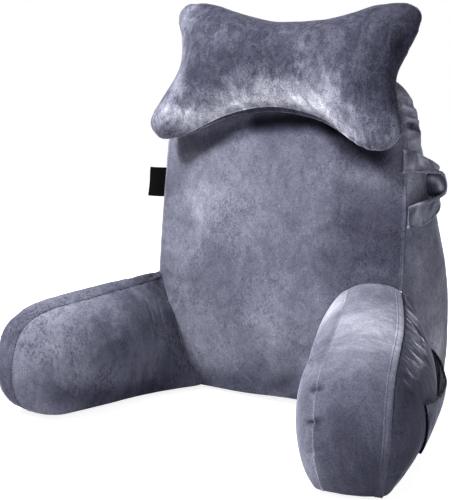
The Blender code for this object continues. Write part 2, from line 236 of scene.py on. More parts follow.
def path_length(path):
    return float(np.linalg.norm(np.diff(np.asarray(path), axis=0), axis=1).sum())


def rounded_path(corners, steps=24):
    """A closed outline through (x, z, radius) corners, and the index of each corner's middle."""
    path, middles = [], []
    for i, (x, z, radius) in enumerate(corners):
        corner = np.array((x, z))
        before = np.array(corners[i - 1][:2]) - corner
        after = np.array(corners[(i + 1) % len(corners)][:2]) - corner
        start = corner + before / np.linalg.norm(before) * min(radius, 0.49 * np.linalg.norm(before))
        end = corner + after / np.linalg.norm(after) * min(radius, 0.49 * np.linalg.norm(after))
        middles.append(len(path) + steps // 2)
        for k in range(steps + 1):
            t = k / steps
            path.append(start * (1 - t) ** 2 + corner * 2 * t * (1 - t) + end * t * t)
    return np.array(path), middles


def spline(a, b, c, d, t):
    """The Catmull-Rom curve from b to c at t, with the knots a and d beside them."""
    return 0.5 * (2 * b + (c - a) * t + (2 * a - 5 * b + 4 * c - d) * t ** 2
                  + (3 * b - 3 * c + d - a) * t ** 3)


def spline_at(values, i, t):
    """The open curve through these values, t past value i."""
    return spline(*(values[min(max(i + k, 0), len(values) - 1)] for k in (-1, 0, 1, 2)), t)


def smooth_path(knots, steps=16):
    """A closed curve through the knots, steps points for each."""
    knots = np.asarray(knots, float)
    path = []
    for i in range(len(knots)):
        around = [knots[(i + k) % len(knots)] for k in (-1, 0, 1, 2)]
        path += [spline(*around, k / steps) for k in range(steps)]
    return np.array(path)


def sides_of(path, starts, cell):
    """A closed path cut at four indices into its bottom, right, top and left, in even steps of about cell."""
    cut = []
    for a, b in zip(starts, starts[1:] + starts[:1]):
        cut.append(path[a:b + 1] if b > a else np.concatenate([path[a:], path[:b + 1]]))
    across = max(2, round(0.5 * (path_length(cut[0]) + path_length(cut[2])) / cell)) + 1
    up = max(2, round(0.5 * (path_length(cut[1]) + path_length(cut[3])) / cell)) + 1
    return (resampled(cut[0], across), resampled(cut[1], up),
            resampled(cut[2], across)[::-1], resampled(cut[3], up)[::-1])


def filled_grid(bottom, right, top, left):
    """A grid of points between four sides, row by row from the bottom."""
    u = np.linspace(0, 1, len(bottom))[None, :, None]
    v = np.linspace(0, 1, len(left))[:, None, None]
    corners = ((1 - u) * (1 - v) * bottom[0] + u * (1 - v) * bottom[-1]
               + (1 - u) * v * top[0] + u * v * top[-1])
    return (1 - v) * bottom[None] + v * top[None] + (1 - u) * left[:, None] + u * right[:, None] - corners


def swelling(grid, steepness):
    """The height of a blown membrane over a grid, from 0 at its rim to 1, made steeper towards the rim."""
    wide = np.linalg.norm(np.diff(grid, axis=1), axis=2).mean()
    tall = np.linalg.norm(np.diff(grid, axis=0), axis=2).mean()
    height = np.zeros(grid.shape[:2])
    a, b = 1 / wide ** 2, 1 / tall ** 2
    for _ in range(CROWN_ROUNDS):
        beside = height[1:-1, :-2] + height[1:-1, 2:]
        above = height[:-2, 1:-1] + height[2:, 1:-1]
        height[1:-1, 1:-1] = (a * beside + b * above + 1.0) / (2 * (a + b))
    return (height / height.max()) ** steepness


def rim(grid):
    """The grid's rim as one closed loop, anticlockwise from its first corner."""
    return np.concatenate([grid[0, :-1], grid[:-1, -1], grid[-1, :0:-1], grid[:0:-1, 0]])


def rim_inside(grid):
    """For each point of the rim, the nearest point one step inside it."""
    rows, columns = (np.clip(np.arange(n), 1, n - 2) for n in grid.shape[:2])
    return rim(grid[np.ix_(rows, columns)])


def curve_through(rows, key, name, at):
    """A smooth value of one column, through the rows."""
    xs = [row[key] for row in rows]
    values = [row[name] for row in rows]
    out = np.empty(np.shape(at))
    for n, x in enumerate(np.ravel(at)):
        i = 0
        while i < len(rows) - 2 and xs[i + 1] < x:
            i += 1
        out.flat[n] = spline_at(values, i, min(1.0, (x - xs[i]) / (xs[i + 1] - xs[i])))
    return out


def eased(x):
    """0 below 0, 1 above 1, smooth between."""
    x = np.clip(x, 0, 1)
    return x * x * (3 - 2 * x)


def bell(x, width, power=2):
    """1 at 0, and falling away at both sides over this width."""
    return np.exp(-(x / width) ** power)


def quads(at):
    """The faces between the points of a grid of indices."""
    return np.stack([at[:-1, :-1], at[:-1, 1:], at[1:, 1:], at[1:, :-1]], axis=2).reshape(-1, 4)


# ---- meshes ----

def linked(name, data):
    """A new object in the scene."""
    made = bpy.data.objects.new(name, data)
    bpy.context.scene.collection.objects.link(made)
    return made


def vertex_values(mesh, key):
    """The place ("co") or the normal of each point of a mesh."""
    flat = np.empty(len(mesh.vertices) * 3, np.float32)
    mesh.vertices.foreach_get(key, flat)
    return flat.reshape(-1, 3).astype(float)


def coordinates(obj):
    return vertex_values(obj.data, "co")


def normals_of(obj):
    return vertex_values(obj.data, "normal")


def set_coordinates(obj, points):
    obj.data.vertices.foreach_set("co", np.asarray(points, np.float32).ravel())
    obj.data.update()


def applied(obj):
    """A copy of the object's mesh as its modifiers shape it. The modifiers are taken off the object."""
    graph = bpy.context.evaluated_depsgraph_get()
    mesh = bpy.data.meshes.new_from_object(obj.evaluated_get(graph), depsgraph=graph)
    obj.modifiers.clear()
    return mesh


def surface_of(obj):
    """The object's surface, for the nearest point and for rays."""
    return BVHTree.FromObject(obj, bpy.context.evaluated_depsgraph_get())


def clearance(tree, point):
    """The nearest spot of a surface, its normal there, and how far out of it the point lies."""
    spot, normal, _, _ = tree.find_nearest(Vector(point))
    return spot, normal, (Vector(point) - spot).dot(normal)


def points_tree(points):
    tree = KDTree(len(points))
    for i, p in enumerate(points):
        tree.insert(p, i)
    tree.balance()
    return tree


def mark_panels(mesh, kinds):
    """Stores which panel of its cushion, or which side of its sheet, each face belongs to."""
    mesh.attributes.new("panel", "INT", "FACE").data.foreach_set("value", np.asarray(kinds, np.int32))


# ---- cushions ----

def cushion_mesh(name, front, rear, band):
    """One closed body. front and rear are grids of points, band the rows of points between their rims.

    Returns the object and the indices of the front points, the rear points and the rows from seam to seam.
    """
    rows, columns = front.shape[:2]
    count = 2 * (rows - 1) + 2 * (columns - 1)
    points = [front.reshape(-1, 3)]
    front_at = np.arange(rows * columns).reshape(rows, columns)
    total = rows * columns
    if len(band):
        rear_at = front_at + total
        points.append(rear.reshape(-1, 3))
        total *= 2
    else:
        rear_at = front_at.copy()
        rear_at[1:-1, 1:-1] = np.arange((rows - 2) * (columns - 2)).reshape(rows - 2, columns - 2) + total
        points.append(rear[1:-1, 1:-1].reshape(-1, 3))
    loops = [rim(front_at)]
    for row in band:
        loops.append(np.arange(count) + total)
        points.append(row)
        total += count
    loops.append(rim(rear_at))
    faces = [quads(front_at), quads(rear_at)[:, ::-1]]
    if len(band):
        for low, high in zip(loops, loops[1:]):
            faces.append(np.stack([np.roll(low, -1), low, high, np.roll(high, -1)], axis=1))
    mesh = bpy.data.meshes.new(name)
    mesh.from_pydata(np.concatenate(points).tolist(), [], np.concatenate(faces).tolist())
    mesh.update()
    kinds = [FRONT, REAR] + [BAND] * (len(faces) - 2)
    mark_panels(mesh, np.repeat(kinds, [len(part) for part in faces]))
    return linked(name, mesh), front_at, rear_at, loops


def rounded_up(obj, sharp_edges):
    """One subdivision, with the edges between these pairs of points kept crisp."""
    wanted = {tuple(sorted(pair)) for pair in sharp_edges}
    crease = obj.data.attributes.new("crease_edge", "FLOAT", "EDGE")
    for edge in obj.data.edges:
        if tuple(sorted(edge.vertices)) in wanted:
            crease.data[edge.index].value = SEAM_CREASE
    smooth = obj.modifiers.new("smooth", "SUBSURF")
    smooth.levels = smooth.render_levels = 1
    obj.data = applied(obj)
    obj.data.polygons.foreach_set("use_smooth", np.ones(len(obj.data.polygons), bool))


def swelled(obj, pinned, push, growth, most):
    """Blows the cushion up as cloth, with these points held, and lets no point move further than most."""
    before = coordinates(obj)
    held = obj.vertex_groups.new(name="held")
    held.add([int(i) for i in pinned], 1.0, "REPLACE")
    cloth = obj.modifiers.new("cloth", "CLOTH")
    for key, value in {**CLOTH, "uniform_pressure_force": push, "shrink_min": -growth}.items():
        setattr(cloth.settings, key, value)
    cloth.settings.effector_weights.gravity = 0.0
    cloth.collision_settings.use_collision = False
    cloth.point_cache.frame_start = 1
    cloth.point_cache.frame_end = CLOTH_STEPS
    for frame_number in range(1, CLOTH_STEPS + 1):
        bpy.context.scene.frame_set(frame_number)
    shaped = obj.evaluated_get(bpy.context.evaluated_depsgraph_get())
    moved = vertex_values(shaped.data, "co") - before
    obj.modifiers.remove(cloth)
    obj.vertex_groups.remove(held)
    bpy.context.scene.frame_set(1)
    length = np.linalg.norm(moved, axis=1)[:, None]
    set_coordinates(obj, before + moved * np.minimum(1.0, most / np.maximum(length, 1e-9)))


def loop_edges(loop):
    return list(zip(loop.tolist(), np.roll(loop, -1).tolist()))


def back_y(share, z, depth):
    """Y for a share of the depth: below 0 is metres of front crown, above 1 metres of rear crown."""
    return BACK_LEAN * z + np.minimum(share, 0) + np.clip(share, 0, 1) * depth + np.maximum(share - 1, 0)


def gusset(loop, near, far, count, bulge):
    """The rows of points between two rims, count steps across, bulged out of their flat loop."""
    along = np.roll(loop, -1, axis=0) - np.roll(loop, 1, axis=0)
    out = np.stack([along[:, 1], -along[:, 0]], axis=1)
    out /= np.linalg.norm(out, axis=1)[:, None]
    band = []
    for k in range(1, count):
        v = k / count
        swell = min(1.0, math.sin(math.pi * v) / math.sin(math.pi / 3))
        row = near * (1 - v) + far * v
        row[:, 0] += out[:, 0] * bulge * swell
        row[:, 2] += np.maximum(out[:, 1], 0) * bulge * swell - np.maximum(0, BASE_ROLL - loop[:, 1]) * swell
        band.append(row)
    return band


def build_back():
    right = [(row["x"], row["z"], row["radius"]) for row in BACK_SIDE_CORNERS]
    left = [(-row["x"], row["z"], row["radius"]) for row in reversed(BACK_SIDE_CORNERS)]
    path, middles = rounded_path(right + left)
    flat = filled_grid(*sides_of(path, [middles[5], middles[0], middles[2], middles[3]], CELLS["backrest"]))
    height = swelling(flat, BACK_STEEPNESS)
    z = np.maximum(flat[..., 1], BASE_ROLL)
    depth = curve_through(BACK_DEPTHS, "z", "depth", z)
    front = np.stack([flat[..., 0], back_y(-BACK_FRONT_CROWN * height, z, depth), z], axis=2)
    front[..., 2] += BACK_BASE_LIFT * eased((flat[..., 0] + 0.06) / 0.12) * bell(flat[..., 1], 0.03)
    rear = np.stack([flat[..., 0], back_y(1 + BACK_REAR_CROWN * height, z, depth), z], axis=2)
    loop = rim(flat)
    near, far = rim(front), rim(rear)
    count = max(3, round(float(np.median(np.linalg.norm(far - near, axis=1))) / (1.6 * CELLS["backrest"])))
    bulge = BACK_BAND_BULGE * np.minimum(1, loop[:, 1] / BACK_BULGE_FROM)
    band = [row + PLACE for row in gusset(loop, near, far, count, bulge)]
    return cushion_mesh("back_cushion", front + PLACE, rear + PLACE, band)


def arm_axes(side, splay_deg):
    """The directions along an arm towards its nose, and out of its outer side."""
    splay = math.radians(splay_deg)
    return (np.array((side * math.sin(splay), -math.cos(splay), 0.0)),
            np.array((side * math.cos(splay), math.sin(splay), 0.0)))


def build_arm(name, side, short, splay_deg, root_x, pinch, toe, heel, brow, flare, slim, toe_in, wrap, low,
              top_steepness, rise, tuck):
    reach = {**{key: value - short for key, value in ARM_REACH.items()}, "heel": heel}
    path, middles = rounded_path([(reach.get(row["l"], row["l"]), brow if row["z"] is None else row["z"],
                                   row["radius"] or toe) for row in ARM_CORNERS])
    flat = filled_grid(*sides_of(path, [middles[0], middles[1], middles[3], middles[4]], CELLS[name]))
    ahead, up = flat[..., 0], flat[..., 1]
    wider = np.sin(0.5 * np.pi * np.minimum(1, up / ARM_WIDE_FROM))
    half = ARM_HALF_BASE + (ARM_HALF_BAND - ARM_HALF_BASE) * wider
    z = np.maximum(up, BASE_ROLL)
    outer = np.stack([ahead, half + ARM_CROWN * swelling(flat, ARM_OUTER_STEEPNESS), z], axis=2)
    shift = wrap * np.maximum(eased(up / ARM_WRAP_TALL), low * eased((ahead - ARM_NOSE_FROM) / 0.05))
    steepness = ARM_LOW_STEEPNESS + (top_steepness - ARM_LOW_STEEPNESS) * eased(up / ARM_STEEP_TALL)
    root = np.maximum(0, 1 - np.maximum(ahead, 0) / ARM_FLARE_REACH)
    crown = (ARM_INNER_CROWN + shift) * (1 - slim * root)
    inner = np.stack([ahead, shift - half - crown * swelling(flat, steepness), z], axis=2)
    loop = rim(flat)
    bulge = ARM_BAND_BULGE * np.minimum(1, loop[:, 1] / ARM_BULGE_FROM)
    band = gusset(loop, rim(inner), rim(outer), round(2 * ARM_HALF_BAND / CELLS[name]), bulge)
    forward, outward = arm_axes(side, splay_deg)

    def placed(p):
        near = np.maximum(0, 1 - np.maximum(p[..., 0], 0) / ARM_FLARE_REACH)
        high = np.minimum(1, p[..., 2] / ARM_ROOT_TALL)
        inwards = np.clip(0.5 - 0.5 * p[..., 1] / ARM_HALF_BASE, 0, 1)
        across = p[..., 1] - (flare * (1 - high) - pinch * high) * near ** 2 * inwards
        across = across - tuck * near ** 2 * (1 - inwards)
        toe_share = (1 - inwards) * (1 - eased(p[..., 2] / 0.09)) * eased((p[..., 0] - 0.16) / 0.1)
        ahead = p[..., 0] - toe_in * toe_share
        origin = PLACE + np.array((side * root_x, 0, 0))
        spot = origin + ahead[..., None] * forward + across[..., None] * outward
        spot[..., 2] += p[..., 2] + rise * near ** 2 * high ** 2
        return spot

    made = cushion_mesh(name.replace("arm_", "arm_cushion_"), placed(inner), placed(outer),
                        [placed(row) for row in band])
    if side < 0:
        made[0].data.flip_normals()
    return made


def build_neck():
    half = [(row["u"], row["w"]) for row in NECK_POINTS]
    path = smooth_path(half[::-1] + [(-u, w) for u, w in half[1:-1]])
    lobes = [int(np.argmax(path @ np.array(way))) for way in ((-1, -0.8), (1, -0.8), (1, 0.8), (-1, 0.8))]
    flat = filled_grid(*sides_of(path, lobes, CELLS["neck_pillow"]))
    u, w = flat[..., 0], flat[..., 1]
    left = eased(-u / 0.10)
    u += NECK_LEFT["in"] * left * eased((w + 0.06) / 0.10)
    u += NECK_LEFT["waist_in"] * left * bell(w - 0.005, 0.058, 4)
    u -= NECK_LEFT["top_out"] * left * eased((w - 0.08) / 0.02)
    w += NECK_LEFT["up"] * left * eased(w / 0.06)
    right = eased(u / 0.15) * (1 + eased((u - 0.14) / 0.05))
    w -= NECK_RIGHT_DOWN * right * eased(w / 0.06)
    arch = curve_through(NECK_ARCH, "u", "up", np.clip(u, NECK_ARCH[0]["u"], NECK_ARCH[-1]["u"]))
    arch *= eased((0.02 - w) / 0.05)
    w += arch
    height = swelling(flat, NECK_STEEPNESS)
    lean, roll = math.radians(NECK_LEAN_DEG), math.radians(NECK_ROLL_DEG)
    facing = np.array((0.0, -math.cos(lean), math.sin(lean)))
    up = np.array((0.0, math.sin(lean), math.cos(lean)))
    side = np.array((1.0, 0.0, 0.0))
    across = side * math.cos(roll) - up * math.sin(roll)
    rise = side * math.sin(roll) + up * math.cos(roll)
    seam = NECK_CENTRE + PLACE + flat[..., :1] * across + flat[..., 1:] * rise
    crown = NECK_CROWN * height[..., None] * facing
    sag = np.minimum(1, height / 0.22) * (1 - height) * eased(-w / 0.03)
    drop = (arch * NECK_SAG * sag)[..., None] * rise
    return cushion_mesh("neck_cushion", seam + crown, seam - crown - drop, [])


def cut_away(obj, wall, gap):
    """Cuts off what of a cushion lies inside its neighbour, with a small gap, and keeps the largest body."""
    cutter = linked("cutter", wall.data.copy())
    cutter.data.color_attributes.remove(cutter.data.color_attributes["nap_and_light"])
    set_coordinates(cutter, coordinates(wall) + normals_of(wall) * gap)
    cut = obj.modifiers.new("cut", "BOOLEAN")
    cut.operation = "DIFFERENCE"
    cut.object = cutter
    cut.solver = "MANIFOLD"
    trimmed = applied(obj)
    bpy.data.objects.remove(cutter)
    work = bmesh.new()
    work.from_mesh(trimmed)
    loose = set(work.verts)
    bodies = []
    while loose:
        body, edge = set(), [loose.pop()]
        while edge:
            v = edge.pop()
            body.add(v)
            for link in v.link_edges:
                w = link.other_vert(v)
                if w in loose:
                    loose.remove(w)
                    edge.append(w)
        bodies.append(body)
    bodies.sort(key=len)
    bmesh.ops.delete(work, geom=[v for body in bodies[:-1] for v in body], context="VERTS")
    work.to_mesh(trimmed)
    work.free()
    obj.data = trimmed


def random_curve(length, pitch, seed):
    """A smooth closed random curve from -1 to 1 along a loop, with a swing about every pitch."""
    count = max(8, round(length / pitch))
    values = np.random.default_rng(seed).uniform(-1, 1, count)

    def at(s):
        x = np.asarray(s) / length * count
        i = np.floor(x).astype(int)
        t = eased(x - i)
        return values[i % count] * (1 - t) + values[(i + 1) % count] * t

    return at


def seam_relief(obj, path, row):
    """Draws the cloth in along a closed seam, with gathers beside it, more where the seam turns."""
    around = np.roll(path, -1, axis=0) - path
    steps = np.linalg.norm(around, axis=1)
    at = np.r_[0.0, np.cumsum(steps)[:-1]]
    length = float(steps.sum())
    ahead = around / steps[:, None]
    turn = np.linalg.norm(np.roll(ahead, -3, axis=0) - np.roll(ahead, 3, axis=0), axis=1)
    turn = np.convolve(np.r_[turn[-6:], turn, turn[:6]], np.ones(13) / 13, "valid")
    tree = points_tree(path)
    points, normals = coordinates(obj), normals_of(obj)
    near = np.zeros(len(points), int)
    away = np.zeros(len(points))
    for i, p in enumerate(points):
        _, near[i], away[i] = tree.find(p)
    fine = random_curve(length, row["pitch"], row["seed"])
    coarse = random_curve(length, GATHERS["coarse"] * row["pitch"], row["seed"] + 1)
    reach = row["reach"] * (0.75 + 0.5 * coarse(at[near] + 0.3))
    gather = np.maximum(0, fine(at[near])) ** GATHERS["sharp"] - GATHERS["swell"]
    least = GATHERS["least"]
    strength = row["gather"] * (least + (1 - least) * np.maximum(0, coarse(at[near])))
    strength *= 1 + GATHERS["turn"] * np.minimum(1, turn[near])
    drop = row["valley"] * bell(away, row["width"])
    drop += strength * gather * np.exp(-away / reach) * (away > 1e-5)
    drop *= np.clip((points[:, 2] - FLOOR_CLEAR) / RELIEF_FADE, 0, 1)
    inwards = 0.5 * (np.roll(path, -4, axis=0) + np.roll(path, 4, axis=0)) - path
    scallop = row.get("scallop", 0.0) * np.minimum(1, turn) * np.maximum(0, fine(at))
    inwards *= (scallop / np.maximum(1e-6, np.linalg.norm(inwards, axis=1)))[:, None]
    points += inwards[near] * np.exp(-away / GATHERS["scallop_reach"])[:, None]
    set_coordinates(obj, points - normals * drop[:, None])


def laid_along(body, path, over_points, section, closed=True):
    """Rings of points along a path on a body, each through the (away, height) of section.

    away goes from the path towards over_points, and height off the body.
    """
    tree = surface_of(body)
    ahead = np.roll(path, -1, axis=0) - np.roll(path, 1, axis=0)
    if not closed:
        ahead[0], ahead[-1] = path[1] - path[0], path[-1] - path[-2]
    rings = []
    for p, q, t in zip(path, over_points, ahead):
        t = Vector(t).normalized()
        over = Vector(q) - Vector(p)
        over = (over - t * over.dot(t)).normalized()
        ring = []
        for away, height in section:
            spot, normal, _, _ = tree.find_nearest(Vector(p) + over * away)
            ring.append(tuple(spot + normal * height))
        rings.append(ring)
    return rings


def new_object(name, points, faces):
    """A smooth body with its faces turned outwards."""
    mesh = bpy.data.meshes.new(name)
    mesh.from_pydata(points, [], faces)
    mesh.update()
    work = bmesh.new()
    work.from_mesh(mesh)
    bmesh.ops.recalc_face_normals(work, faces=work.faces[:])
    work.to_mesh(mesh)
    work.free()
    mesh.polygons.foreach_set("use_smooth", np.ones(len(mesh.polygons), bool))
    return linked(name, mesh)


def ring_faces(first, rings, n, closed):
    """The faces of a tube whose points follow from the first in rings of n."""
    faces = []
    for i in range(rings if closed else rings - 1):
        a, b = first + i * n, first + (i + 1) % rings * n
        faces += [(a + k, a + (k + 1) % n, b + (k + 1) % n, b + k) for k in range(n)]
    if not closed:
        last = first + n * (rings - 1)
        faces += [tuple(range(first, first + n)), tuple(range(last, last + n))]
    return faces


def tube(name, rings, closed):
    """A closed body through rings of points."""
    points = [tuple(p) for ring in rings for p in ring]
    return new_object(name, points, ring_faces(0, len(rings), len(rings[0]), closed))


def grid_normals(grid):
    along, up = np.gradient(grid, axis=0), np.gradient(grid, axis=1)
    normal = np.cross(along, up)
    return normal / np.linalg.norm(normal, axis=2)[..., None]


def sheet(name, grid, half):
    """A closed sheet of cloth through a grid of points, half gives half its thickness at each point."""
    rows, columns = grid.shape[:2]
    lift = grid_normals(grid) * np.broadcast_to(half, (rows, columns))[..., None]
    at = np.arange(rows * columns).reshape(rows, columns)
    total = rows * columns
    faces = []
    for side in (at, at[::-1] + total):
        faces += quads(side).tolist()
    edge = rim(at)
    faces += np.stack([edge, np.roll(edge, -1), np.roll(edge, -1) + total, edge + total], axis=1).tolist()
    points = np.concatenate([(grid + lift).reshape(-1, 3), (grid - lift).reshape(-1, 3)])
    made = new_object(name, points.tolist(), faces)
    each = (rows - 1) * (columns - 1)
    mark_panels(made.data, np.repeat((OUTER, INNER, OUTER), (each, each, len(faces) - 2 * each)))
    return made


def stitches(name, path, length, pitch, radius):
    """A row of short threads along a path of points."""
    steps = steps_along(path)
    points, faces = [], []
    for start in np.arange(0.5 * pitch, steps[-1] - pitch, pitch):
        ends = [Vector([np.interp(start + d, steps, path[:, k]) for k in range(3)]) for d in (0.0, length)]
        ahead = (ends[1] - ends[0]).normalized()
        side = ahead.orthogonal().normalized()
        up = ahead.cross(side)
        first = len(points)
        for share, size in THREAD_RINGS:
            middle = ends[0].lerp(ends[1], share)
            points += [tuple(middle + (side * math.cos(t) + up * math.sin(t)) * radius * size)
                       for t in (math.tau * k / THREAD_SIDES for k in range(THREAD_SIDES))]
        faces += ring_faces(first, len(THREAD_RINGS), THREAD_SIDES, False)
    return new_object(name, points, faces)


def camera_place():
    a, e = math.radians(AZIMUTH), math.radians(ELEVATION)
    away = Vector((math.sin(a) * math.cos(e), -math.cos(a) * math.cos(e), math.sin(e)))
    return AIM + away * DISTANCE, away, Vector((math.cos(a), math.sin(a), 0.0))


def pixel_way(px):
    """The camera's place, and the way from it through a pixel of the photograph."""
    spot, away, right = camera_place()
    across = right * (px[0] - 0.5 * WIDE_PX)
    return spot, -away * FOCAL_PX + across + away.cross(right) * (0.5 * TALL_PX - px[1])


def seen_at(tree, px):
    """The point of a body that the photograph shows at this pixel, or None."""
    spot, way = pixel_way(px)
    return tree.ray_cast(spot, way.normalized())[0]


def creased(obj, rows):
    """Presses creases into a cushion, each between two pixels of the photograph."""
    tree = surface_of(obj)
    points, normals = coordinates(obj), normals_of(obj)
    near = points_tree(points)
    drop = np.zeros(len(points))
    for row in rows:
        (x0, y0), (x1, y1) = row["from"], row["to"]
        for k in range(CREASE_POINTS):
            t = k / (CREASE_POINTS - 1)
            bow = row["bow"] * 4 * t * (1 - t)
            px = (x0 + (x1 - x0) * t - (y1 - y0) * bow, y0 + (y1 - y0) * t + (x1 - x0) * bow)
            place = seen_at(tree, px)
            if place is None:
                continue
            depth = row["depth"] * math.sin(math.pi * (0.08 + 0.84 * t)) ** 0.7
            for _, i, distance in near.find_range(place, 3 * row["wide"]):
                q = (distance / row["wide"]) ** 2
                value = depth * (1 - CREASE_RIDGE * q) * math.exp(-q)
                if abs(value) > abs(drop[i]):
                    drop[i] = value
    set_coordinates(obj, points - normals * drop[:, None])


def paint_nap_and_light(obj, look, body=None):
    """Paints the nap's lay with painted light and shade: a tone for each panel, and patches along pixels of
    the photograph.
    """
    mesh = obj.data
    tree = surface_of(body or obj)
    points = coordinates(obj)
    ragged = np.array([noise.fractal(Vector(p) * 45, 0.7, 2.1, 4) for p in points])
    tone = np.zeros((len(points), 3)) + np.log(look["tones"])
    for row in look["nap_and_light_patches"]:
        spots = [np.array(spot) for spot in (seen_at(tree, px) for px in row["px"]) if spot is not None]
        away = np.full(len(points), np.inf)
        for a, b in zip(spots, spots[1:] or spots):
            along = b - a
            t = np.clip((points - a) @ along / max(1e-9, along @ along), 0, 1)
            away = np.minimum(away, np.linalg.norm(points - a - t[:, None] * along, axis=1))
        away = np.maximum(0, away + row["ragged"] * ragged)
        tone[:, row["panel"]] += math.log(row["tone"]) * bell(away, row["reach"], row["edge"])
    corners = np.empty(len(mesh.loops), np.int32)
    mesh.loops.foreach_get("vertex_index", corners)
    kind = np.zeros(len(mesh.polygons), np.int32)
    if "panel" in mesh.attributes:
        mesh.attributes["panel"].data.foreach_get("value", kind)
    sizes = np.empty(len(mesh.polygons), np.int32)
    mesh.polygons.foreach_get("loop_total", sizes)
    flat = np.ones((len(corners), 4), np.float32)
    flat[:, :3] = np.exp(tone[corners, np.repeat(kind, sizes)])[:, None]
    mesh.color_attributes.new("nap_and_light", "FLOAT_COLOR", "CORNER").data.foreach_set("color", flat.ravel())


# ---- looks ----

def node(tree, kind, **settings):
    """A new node. A setting is a property, the value of an input, or the output that it is joined to."""
    made = tree.nodes.new(kind)
    for key, value in settings.items():
        if isinstance(value, bpy.types.NodeSocket):
            tree.links.new(value, made.inputs[key])
        elif key in made.inputs:
            made.inputs[key].default_value = value
        else:
            setattr(made, key, value)
    return made


def result(tree, operation, *values, kind="ShaderNodeMath"):
    """The output of a node that does this with the values, each a value or the output of a node."""
    made = node(tree, kind, operation=operation)
    for socket, value in zip(made.inputs, values):
        if isinstance(value, bpy.types.NodeSocket):
            tree.links.new(value, socket)
        else:
            socket.default_value = value
    return made.outputs[0]


def new_look(name, roughness, specular):
    """A new material, its nodes and its shader."""
    made = bpy.data.materials.new(name)
    made.use_nodes = True
    shader = made.node_tree.nodes["Principled BSDF"]
    shader.inputs["Roughness"].default_value = roughness
    shader.inputs["Specular IOR Level"].default_value = specular
    return made, made.node_tree, shader


def coloured(tree, shader, colour, height, strength, distance):
    """Gives the shader its colour, and raises the surface by a value of the nodes."""
    bump = node(tree, "ShaderNodeBump", Strength=strength, Distance=distance, Height=height)
    tree.links.new(bump.outputs["Normal"], shader.inputs["Normal"])
    tree.links.new(colour, shader.inputs["Base Color"])


def velour(name, look):
    """Slate blue-grey velour, its pile lying in patches that catch the light differently."""
    made, tree, shader = new_look(name, roughness=1.0, specular=0.1)
    shader.inputs["Sheen Weight"].default_value = look["sheen"]
    shader.inputs["Sheen Roughness"].default_value = 0.22
    shader.inputs["Sheen Tint"].default_value = (0.80, 0.82, 1.0, 1.0)
    place = node(tree, "ShaderNodeTexCoord").outputs["Object"]
    brushed = node(tree, "ShaderNodeMapping", Location=(look["shift"], 0.3, 0.7), Vector=place,
                   Rotation=(0.0, math.radians(look["brush_deg"]), 0.0),
                   Scale=(1.0, 1.0, look["stroke"])).outputs["Vector"]
    combed = node(tree, "ShaderNodeMapping", Scale=(1.0, 1.0, 0.3), Vector=brushed).outputs["Vector"]

    def layer(name, lie, **more):
        """Noise between two of its levels, spread from the bottom value up to 1 above it."""
        row = {**NAP_LAYERS[name], **more}
        texture = node(tree, "ShaderNodeTexNoise", Scale=row["scale"], Detail=row["detail"],
                       Roughness=row["rough"], Distortion=row["twist"], Vector=lie)
        levels = {"From Min": row["low"], "From Max": row["high"],
                  "To Min": row["bottom"], "To Max": row["bottom"] + 1.0}
        return node(tree, "ShaderNodeMapRange", interpolation_type="SMOOTHSTEP",
                    Value=texture.outputs["Fac"], **levels).outputs["Result"]

    def added(name, lie, below, **more):
        """The look's share of a layer on top of the layers below."""
        return result(tree, "MULTIPLY_ADD", layer(name, lie, **more), look[name], below)

    half = 0.5 * look["cloud_edge"]
    level = added("broad", place, 0.0)
    level = added("cloud", brushed, level, twist=look["swirl"], low=0.5 - half, high=0.5 + half)
    level = added("streak", combed, level)
    relief = added("patch", brushed, level)
    share = result(tree, "MULTIPLY", layer("where", brushed), look["fleck"])
    level = result(tree, "MULTIPLY_ADD", layer("fleck", brushed), share, relief)
    level = added("grain", place, level)
    # the vertex colour carries the nap's lay with the painted light and shade, and scales the colour
    nap_and_light = node(tree, "ShaderNodeVertexColor", layer_name="nap_and_light").outputs["Color"]
    shade = result(tree, "MULTIPLY", nap_and_light, result(tree, "POWER", NAP_CONTRAST, level))
    less_blue = result(tree, "POWER", shade, BLUE_POWER)
    shades = node(tree, "ShaderNodeCombineXYZ", X=shade, Y=shade, Z=less_blue).outputs["Vector"]
    colour = result(tree, "MULTIPLY", look["colour"], shades, kind="ShaderNodeVectorMath")
    coloured(tree, shader, colour, relief, strength=0.6, distance=0.0022)
    return made


def woven(name):
    """Black woven tape: fine ribs that cross."""
    made, tree, shader = new_look(name, roughness=0.9, specular=0.04)
    place = node(tree, "ShaderNodeTexCoord").outputs["Object"]
    ribs = [node(tree, "ShaderNodeTexWave", bands_direction=way, Scale=420.0, Distortion=0.6, Detail=1.0,
                 Vector=place).outputs["Fac"] for way in ("Z", "X")]
    both = result(tree, "MULTIPLY", *ribs)
    ramp = node(tree, "ShaderNodeValToRGB", Fac=both)
    ramp.color_ramp.elements[0].color = (0.0005, 0.0005, 0.0006, 1)
    ramp.color_ramp.elements[1].color = (0.004, 0.004, 0.005, 1)
    coloured(tree, shader, ramp.outputs["Color"], both, strength=0.5, distance=0.0003)
    return made


# ---- scene ----

def add_light(name, spot, aim, size, power, colour=(1, 1, 1)):
    lamp = bpy.data.lights.new(name, "AREA")
    lamp.energy = power
    lamp.size = size
    lamp.color = colour
    made = linked(name, lamp)
    made.location = spot
    made.rotation_euler = (Vector(aim) - Vector(spot)).to_track_quat("-Z", "Y").to_euler()


def add_camera():
    lens = bpy.data.cameras.new("camera")
    lens.sensor_width = SENSOR_MM
    lens.lens = FOCAL_PX / TALL_PX * SENSOR_MM
    made = linked("camera", lens)
    made.location, away, _ = camera_place()
    made.rotation_euler = (-away).to_track_quat("-Z", "Y").to_euler()
    bpy.context.scene.camera = made


